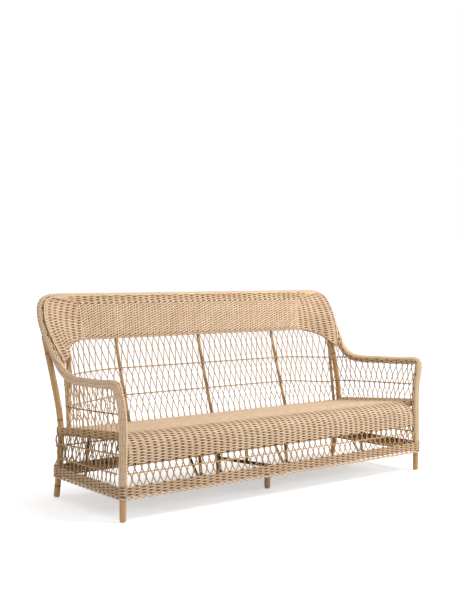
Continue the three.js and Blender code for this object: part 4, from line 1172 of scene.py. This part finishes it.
def pole_part(curve, radius, facing, trim=(0.0, 0.0)):
    """A round stem, closed by rounded ends that draw in to 0.8 of its radius.

    Its radius is multiplied by one plus RING_SWELL exp(-(distance to a ring / RING_HALF) squared).
    """
    length, share_at = measured(curve)
    first, last = trim[0], length - trim[1]
    rings = np.arange(rng.uniform(0.05, RING_SPACING), length, RING_SPACING)
    near = (rings[:, None] + np.linspace(-0.012, 0.012, 9)[None]).ravel()
    lip = END_SHARE * radius * (1 - np.cos(np.linspace(0, np.pi / 2, 4)))
    distance = np.concatenate([np.arange(first, last, POLE_STEP), near, first + lip, last - lip])
    distance = np.unique(np.round(distance[(distance >= first) & (distance <= last)], 5))
    ring = np.exp(-((distance[:, None] - rings[None]) / RING_HALF) ** 2).sum(1)
    to_end = np.minimum(distance - first, last - distance) / (END_SHARE * radius)
    rounded = 0.8 + 0.2 * np.sqrt(1 - (1 - np.clip(to_end, 0, 1)) ** 2)
    size = radius * (1 + RING_SWELL * ring) * rounded
    centre = curve(share_at(distance))[None]
    facing = np.broadcast_to(facing, centre.shape)
    tone = rng.uniform(-0.5, 0.5)
    return strands(centre, facing, size[None], size[None], tone, ring[None], POLE_SIDES)


def pole(node, points, radius, facing, trim=(0.0, 0.0), bent=False):
    """One pole in place of its CAD node, along straight or bent stretches."""
    course = (lambda t: route(points, t)) if bent else (lambda t: line(points, t))
    return piece(f"{node}_cane", [pole_part(course, radius, facing, trim)], "pole", node)


def pole_pair(node, points, radius, facing, trim=(0.0, 0.0), bent=False):
    """A pole on the right and its mirror image on the left."""
    points = np.asarray(points, float)
    pole(f"{node}_right", points, radius, facing, trim, bent)
    pole(f"{node}_left", points * MIRROR, radius, facing, trim, bent)


def across(y, z, half):
    """Two ends of a level pole from side to side."""
    return np.array([[-half, y, z], [half, y, z]])


def part_of(points, first, last):
    """The curve through points from one share of its way to another."""
    return lambda t: route(points, first + t * (last - first))


SHOE = GLIDE_H + GAP
top_curve = part_of(rim_points, rim_first, rim_last)
piece("top_rail_cane", [pole_part(top_curve, POLE_R, UP)], "pole", "top_rail")
for side, points in (("right", arm_points), ("left", arm_points * MIRROR)):
    curve = part_of(points, arm_first, 1)
    piece(f"arm_pole_{side}_cane", [pole_part(curve, POLE_R, RIGHT, (0, SHOE))], "pole", f"arm_pole_{side}")

rear_foot = np.array([REAR_LEG_X, REAR_FOOT_Y, 0])
knee = np.array([KNEE_X, KNEE_Y, KNEE_Z])
post_top = spots([[0.9785, 0.9241, 0.549]])[0]
post_points = np.array([
    rear_foot,
    between(knee, rear_foot, KNEE_BEND / np.linalg.norm(rear_foot - knee)),
    between(knee, post_top, KNEE_BEND / np.linalg.norm(post_top - knee)),
    post_top,
])
pole_pair("rear_post", post_points, POLE_R, RIGHT, (SHOE, WRAP_R), bent=True)
print("rim, arm poles and rear posts")

# %% Uprights and the seat's rails
upright_foot_z = REAR_RAIL_Z - 2 * RAIL_R
upright_bend_z = WEAVE_Z + 0.1 * (RAIL_Z - WEAVE_Z)
upright = np.array([
    [0, upright_y(upright_foot_z), upright_foot_z],
    [0, upright_y(upright_bend_z), upright_bend_z],
    [0, RAIL_Y, RAIL_Z],
])
pole("back_upright_centre", upright, UPRIGHT_R, RIGHT, (0, WRAP_R), bent=True)
pole_pair("back_upright", upright + BAY_X * RIGHT, UPRIGHT_R, RIGHT, (0, WRAP_R), bent=True)

NOSE_RAIL_TURN = math.pi / 12
nose_rail_r = NOSE_R - SHEET / 2 - SEAM - RAIL_R
nose_rail_y = NOSE_Y - nose_rail_r * math.sin(NOSE_RAIL_TURN)
nose_rail_z = NOSE_Z + nose_rail_r * math.cos(NOSE_RAIL_TURN)
skirt_rail_y = SKIRT_Y + SHEET / 2 + GAP + RAIL_R
skirt_rail_z = SKIRT_Z + RAIL_R + GAP
side_rail_x = LEG_X - RAIL_R


def side_rail_z(y):
    """Height of the side rails' axes at depth y, just below the seat's weave."""
    return seat_z(y) - SHEET / 2 - GAP - RAIL_R


side_front = np.array([side_rail_x, FRONT_Y, side_rail_z(FRONT_Y)])
side_rear = np.array([KNEE_X, KNEE_Y, side_rail_z(KNEE_Y)])
pole("seat_rail_rear", across(REAR_RAIL_Y, REAR_RAIL_Z, KNEE_X - RAIL_R / 2), RAIL_R, UP, (POLE_R / 2,) * 2)
pole("seat_rail_nose", across(nose_rail_y, nose_rail_z, side_rail_x - RAIL_R), RAIL_R, UP)
pole("seat_rail_skirt", across(skirt_rail_y, skirt_rail_z, LEG_X - WRAP_R), RAIL_R, UP)
pole_pair("seat_rail_side", [side_front, side_rear], RAIL_R, UP, (WRAP_R, POLE_R))

rib = np.array([[0, nose_rail_y, nose_rail_z], [0, REAR_RAIL_Y, REAR_RAIL_Z]])
pole("seat_rib_centre", rib, BASE_R, UP, (RAIL_R,) * 2)
pole_pair("seat_rib", rib + BAY_X * RIGHT, BASE_R, UP, (RAIL_R,) * 2)


def rib_height(y):
    """Height of the ribs at depth y, on the line between the rails that carry them."""
    share = (y - nose_rail_y) / (REAR_RAIL_Y - nose_rail_y)
    return nose_rail_z + (REAR_RAIL_Z - nose_rail_z) * share


corner_out = np.array([math.sin(CORNER_TURN), math.cos(CORNER_TURN), 0])
corner_ends = np.array([corner_foot, edge[CORNER_ROW]]) + CORNER_SET * corner_out
corner_ends[0, 2] = REAR_RAIL_Z
pole_pair("corner_upright", corner_ends, UPRIGHT_R, RIGHT, (RAIL_R, 0))
print("uprights, rails and ribs")

# %% Base rails, centre legs, struts and braces
base_front_y = FRONT_Y - BASE_OUT
base_rear_y = leg_tilt(BASE_Z) + BASE_OUT
base_side = np.array([
    [LEG_X + BASE_OUT, FRONT_Y, BASE_Z],
    [REAR_LEG_X + BASE_OUT, leg_tilt(BASE_Z), BASE_Z],
])
pole("base_rail_front", across(base_front_y, BASE_Z, LEG_X), BASE_R, UP, (POLE_R,) * 2)
pole("base_rail_rear", across(base_rear_y, BASE_Z, REAR_LEG_X), BASE_R, UP, (POLE_R,) * 2)
pole_pair("base_rail_side", base_side, BASE_R, UP, (POLE_R,) * 2)

rear_centre = np.array([[0, REAR_CENTRE_FOOT_Y, 0], [0, REAR_RAIL_Y, REAR_RAIL_Z]])
stretcher = np.array([[0, base_front_y, BASE_Z], between(*rear_centre, STRETCHER_Z / REAR_RAIL_Z)])


def on_stretcher(y):
    """Point of the stretcher's axis at depth y."""
    return between(*stretcher, (y - base_front_y) / (stretcher[1, 1] - base_front_y))


prop = [on_stretcher(PROP_Y), [0, PROP_Y, rib_height(PROP_Y)]]
pole("front_centre_leg", [[0, CENTRE_LEG_Y, 0], on_stretcher(CENTRE_LEG_Y)], POLE_R, RIGHT, (SHOE, 0))
pole("rear_centre_leg", rear_centre, POLE_R, RIGHT, (SHOE, RAIL_R + BASE_R))
pole("centre_stretcher", stretcher, STRETCHER_R, UP, (BASE_R, POLE_R))
pole("seat_prop", prop, UPRIGHT_R, RIGHT, (STRETCHER_R, BASE_R))

strut = np.array([[0, base_front_y, BASE_Z], [0, skirt_rail_y, skirt_rail_z]])
pole("front_strut_centre", strut, STRUT_R, RIGHT, (BASE_R, RAIL_R))
pole_pair("front_strut", strut + BAY_X * RIGHT, STRUT_R, RIGHT, (BASE_R, RAIL_R))
brace = np.array([[0, BRACE_FOOT_Y, BASE_Z], [0, BRACE_TOP_Y, rib_height(BRACE_TOP_Y)]])
pole("seat_brace_centre", brace, BRACE_R, RIGHT, (STRETCHER_R, BASE_R))
pole_pair("seat_brace", brace + BAY_X * RIGHT, BRACE_R, RIGHT, (0, BASE_R))
side_share = (SIDE_STRUT_Y - FRONT_Y) / (KNEE_Y - FRONT_Y)
side_strut = np.array([between(*base_side, side_share), between(side_front, side_rear, side_share)])
pole_pair("side_strut", side_strut, STRUT_R, RIGHT, (BASE_R, RAIL_R))
print("poles so far", sum(1 for name in pieces if name.endswith("_cane")))

# %% [markdown]
# ## Glides
# A small moulded foot is nailed under each leg. It is a turned shape: flat below, rounded at
# the rim, so it is a short profile of radii carried up a vertical line.

# %% Glides
GLIDE_SIDES = 24
glide_heights = GLIDE_H * np.array([0, 0.08, 0.3, 0.7, 0.92, 1])
glide_radii = GLIDE_R * np.array([0.86, 0.94, 1, 1, 0.95, 0.88])[None]


def glide(node, x, y):
    """A disc: the profile of glide_radii, carried up the line at x, y through glide_heights."""
    centre = np.stack([0 * glide_heights + x, 0 * glide_heights + y, glide_heights], -1)[None]
    facing = np.broadcast_to(RIGHT, centre.shape)
    disc = strands(centre, facing, glide_radii, glide_radii, sides=GLIDE_SIDES)
    piece(f"{node}_shoe", [disc], "glide", node)


for side, flip in (("right", 1), ("left", -1)):
    glide(f"front_glide_{side}", flip * LEG_X, FRONT_Y)
    glide(f"rear_glide_{side}", flip * REAR_LEG_X, leg_tilt(GLIDE_H))
glide("front_centre_glide", 0, CENTRE_LEG_Y)
glide("rear_centre_glide", 0, REAR_CENTRE_FOOT_Y)
print("pieces", len(pieces), "triangles", sum(triangles.values()), "largest", max(triangles.values()))

# %% [markdown]
# ## Finishes
# Every strand and pole is rattan: the stem with its skin on is a smooth, slightly glossy honey
# brown, and the peeled core is paler and more even. Both have fine fibres along their length.

# %% Colours and nodes
FIBRE_LENGTH, FIBRE_WIDTH = 1 / 60, 1 / 1400    # 17 mm by 0.7 mm: real ones are finer, too fine to show
PATCH = 1 / 9                                   # size of the slow changes of colour in a stem
FIBRE_DEPTH, BUMP = 0.0004, 0.25


def srgb(code):
    """Linear colour of an sRGB hex value.

    A share c becomes c / 12.92 when it is small, and otherwise (c + 0.055) / 1.055 to the 2.4.
    """
    values = np.array([int(code[i:i + 2], 16) for i in (1, 3, 5)]) / 255
    linear = np.where(values <= 0.04045, values / 12.92, ((values + 0.055) / 1.055) ** 2.4)
    return (*linear.tolist(), 1.0)


def add(tree, kind, inputs=(), **settings):
    """Adds one node with settings; inputs maps a socket to a value or to another node's output."""
    made = tree.nodes.new(kind)
    for key, value in settings.items():
        setattr(made, key, value)
    for key, value in dict(inputs).items():
        if isinstance(value, bpy.types.NodeSocket):
            tree.links.new(value, made.inputs[key])
        else:
            made.inputs[key].default_value = value
    return made


def cane(name, dark, pale, shade, roughness):
    """A rattan finish: fibres along the length, a tone for each strand, darker where it lies deep.

    The share of pale is 0.22 times the tone plus half of each noise, and depth mixes in the shade
    colour: painted shade on strands, the darker rings on poles.
    """
    material = bpy.data.materials.new(name)
    material.use_nodes = True
    tree = material.node_tree
    tree.nodes.clear()
    uv = add(tree, "ShaderNodeUVMap", uv_map="UVMap").outputs["UV"]
    tone = add(tree, "ShaderNodeAttribute", attribute_name="tone").outputs["Fac"]
    deep = add(tree, "ShaderNodeAttribute", attribute_name="deep").outputs["Fac"]
    stretched = {"Vector": uv, "Scale": (1 / FIBRE_LENGTH, 1 / FIBRE_WIDTH, 1)}
    fibres = add(tree, "ShaderNodeMapping", stretched).outputs["Vector"]
    grain = add(tree, "ShaderNodeTexNoise", {"Vector": fibres, "Scale": 1.0, "Detail": 3.0}).outputs["Fac"]
    slow = {"Vector": add(tree, "ShaderNodeTexCoord").outputs["Object"], "Scale": 1 / PATCH, "Detail": 2.0}
    patch = add(tree, "ShaderNodeTexNoise", slow).outputs["Fac"]
    mixed = 0.5
    for value, weight in ((tone, 0.22), (grain, 0.5), (patch, 0.5)):
        terms = {0: value, 1: weight, 2: mixed}
        mixed = add(tree, "ShaderNodeMath", terms, operation="MULTIPLY_ADD").outputs[0]
    share = add(tree, "ShaderNodeMath", {0: mixed, 1: 0.5}, operation="SUBTRACT", use_clamp=True).outputs[0]
    stem = {0: share, 6: srgb(dark), 7: srgb(pale)}
    colour = add(tree, "ShaderNodeMix", stem, data_type="RGBA").outputs[2]
    shaded = add(tree, "ShaderNodeMix", {0: deep, 6: colour, 7: srgb(shade)}, data_type="RGBA").outputs[2]
    relief = {"Height": grain, "Strength": BUMP, "Distance": FIBRE_DEPTH}
    normal = add(tree, "ShaderNodeBump", relief).outputs["Normal"]
    shader = add(tree, "ShaderNodeBsdfPrincipled", {
        "Base Color": shaded, "Roughness": roughness, "Normal": normal,
    }).outputs[0]
    add(tree, "ShaderNodeOutputMaterial", {"Surface": shader})
    return material


print("fibres", round(FIBRE_LENGTH * 1000, 1), "by", round(FIBRE_WIDTH * 1000, 1), "mm")

# %% The finishes: darkest, palest and deepest colour, and roughness; the deepest is painted shade on strands, ring colour on poles
# Peeled core, woven damp: matt and pale; its brown is painted shade where a strand dips behind a stake, on
# strands' sides, on the stakes and on the filling strands
weave_cane = cane("woven_peeled_cane", "#c99d6c", "#f3ddbf", "#643810", 0.6)
# Round core, twisted into lattice: a little smoother; its dark brown is painted shade where a strand passes
# behind another, on the rows' sides and on the stakes
lattice_cane = cane("twisted_round_cane", "#a97f4c", "#dfbd90", "#6b4722", 0.55)
# Split cane, laid side by side round a pole: the skin side is out, so it has a soft gloss; its dark brown
# is painted shade of the groove, of the braid where it passes below and of the strands' sides
wrap_cane = cane("laid_split_cane", "#c79f72", "#f0d7b9", "#5e3814", 0.5)
# Whole stems, bent over steam: their skin is on, which makes them warm and satin smooth
pole_cane = cane("steamed_rattan_pole", "#a1764a", "#cfa671", "#7a5630", 0.4)
# The same stems made darker as painted shade, for what stands in the shade under the seat
shaded_pole_cane = cane("rattan_pole_painted_shade", "#5f4022", "#8f6a3e", "#45301c", 0.45)
# Stems almost black, for the slanting ones: they show as dark strokes
black_cane = cane("near_black_rattan_pole", "#33241a", "#584029", "#241a12", 0.5)
# Moulded plastic: even, pale and slightly waxy
glide_plastic = cane("moulded_polythene_glide", "#c9c5bc", "#dedad2", "#bdb8ae", 0.5)
finishes = {
    "weave": weave_cane, "lattice": lattice_cane, "wrap": wrap_cane, "pole": pole_cane,
    "glide": glide_plastic,
}
# The seat's rails, ribs and struts are darker, as painted shade, but not its side rails: their ends show in
# front
dark_finishes = {
    "rail_side": pole_cane, "strut": shaded_pole_cane, "rib": shaded_pole_cane, "prop": shaded_pole_cane,
    "seat_rail": shaded_pole_cane, "brace": black_cane, "stretcher": black_cane,
}
for name, made in pieces.items():
    finish = finishes[made["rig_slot"]]
    if finish is pole_cane:
        finish = next((dark_finish for word, dark_finish in dark_finishes.items() if word in name), pole_cane)
    made.data.materials.append(finish)
print("finishes", len(bpy.data.materials))

# %% [markdown]
# ## Floor, light and camera
# The floor is a wide pale sheet, the sky is an even white, and one large soft lamp stands at
# the front right, high up. The world shows plain white behind the object and lights it less.

# %% Stage
FLOOR_HALF, FLOOR_GLOW = 40, 0.46       # the glow is for the camera's rays alone
SKY_LIGHT = 0.72                        # the sky's strength for all but the camera's rays
LAMP_PLACE, LAMP_AIM, LAMP_SIZE, LAMP_POWER = (2.2, -2.4, 3.6), (0, 0, 0.4), 2.5, 170
corners = [(x * FLOOR_HALF, y * FLOOR_HALF, 0) for x, y in ((-1, -1), (1, -1), (1, 1), (-1, 1))]
floor_mesh = bpy.data.meshes.new("floor")
floor_mesh.from_pydata(corners, [], [(0, 1, 2, 3)])
floor = bpy.data.objects.new("floor", floor_mesh)
bpy.context.scene.collection.objects.link(floor)
floor_paint = bpy.data.materials.new("matt_white_floor")
floor_paint.use_nodes = True
tree = floor_paint.node_tree
tree.nodes.clear()
paint = add(tree, "ShaderNodeBsdfDiffuse", {"Color": srgb("#eeeeee")}).outputs[0]
seen = add(tree, "ShaderNodeLightPath").outputs["Is Camera Ray"]
lift = add(tree, "ShaderNodeMath", {0: seen, 1: FLOOR_GLOW}, operation="MULTIPLY").outputs[0]
glow = add(tree, "ShaderNodeEmission", {"Strength": lift}).outputs[0]
shader = add(tree, "ShaderNodeAddShader", {0: paint, 1: glow}).outputs[0]
add(tree, "ShaderNodeOutputMaterial", {"Surface": shader})
floor.data.materials.append(floor_paint)

world = bpy.data.worlds.new("studio")
bpy.context.scene.world = world
world.use_nodes = True
tree = world.node_tree
tree.nodes.clear()
seen = add(tree, "ShaderNodeLightPath").outputs["Is Camera Ray"]
levels = {"Value": seen, "To Min": SKY_LIGHT, "To Max": 1.0}
strength = add(tree, "ShaderNodeMapRange", levels).outputs["Result"]
sky = add(tree, "ShaderNodeBackground", {"Color": srgb("#ffffff"), "Strength": strength}).outputs[0]
add(tree, "ShaderNodeOutputWorld", {"Surface": sky})


def lamp(name, place, aim, size, power):
    """A square area lamp at place that faces aim."""
    data = bpy.data.lights.new(name, "AREA")
    data.size, data.energy = size, power
    made = bpy.data.objects.new(name, data)
    bpy.context.scene.collection.objects.link(made)
    back = unit(np.array(place, float) - np.array(aim, float))
    side = unit(np.cross(UP, back))
    up = np.cross(back, side)
    turned = np.eye(4)
    turned[:3] = np.column_stack([side, up, back, place])
    made.matrix_world = Matrix(turned)
    return made


lamp("key", LAMP_PLACE, LAMP_AIM, LAMP_SIZE, LAMP_POWER)
print("stage set")

# %% Camera
CAMERA_PLACE = (-3.1616, -3.9056, 1.0337)
CAMERA_DOWN, CAMERA_TURN = 1.880, -38.508       # degrees below level, and about the vertical
FOCAL_PIXELS, FRAME_PIXELS = 1015.5, 613        # focal length and height of the photo's frame
SENSOR = 36.0
camera_data = bpy.data.cameras.new("camera")
camera_data.sensor_width = SENSOR
camera_data.lens = FOCAL_PIXELS / FRAME_PIXELS * SENSOR
camera = bpy.data.objects.new("camera", camera_data)
bpy.context.scene.collection.objects.link(camera)
camera.location = CAMERA_PLACE
camera.rotation_euler = (math.radians(90 - CAMERA_DOWN), 0, math.radians(CAMERA_TURN))
bpy.context.scene.camera = camera
bpy.context.scene.view_settings.view_transform = "Standard"
print("camera", round(math.dist(CAMERA_PLACE, (0, 0, 0)), 2), "m away, lens", round(camera_data.lens, 1))
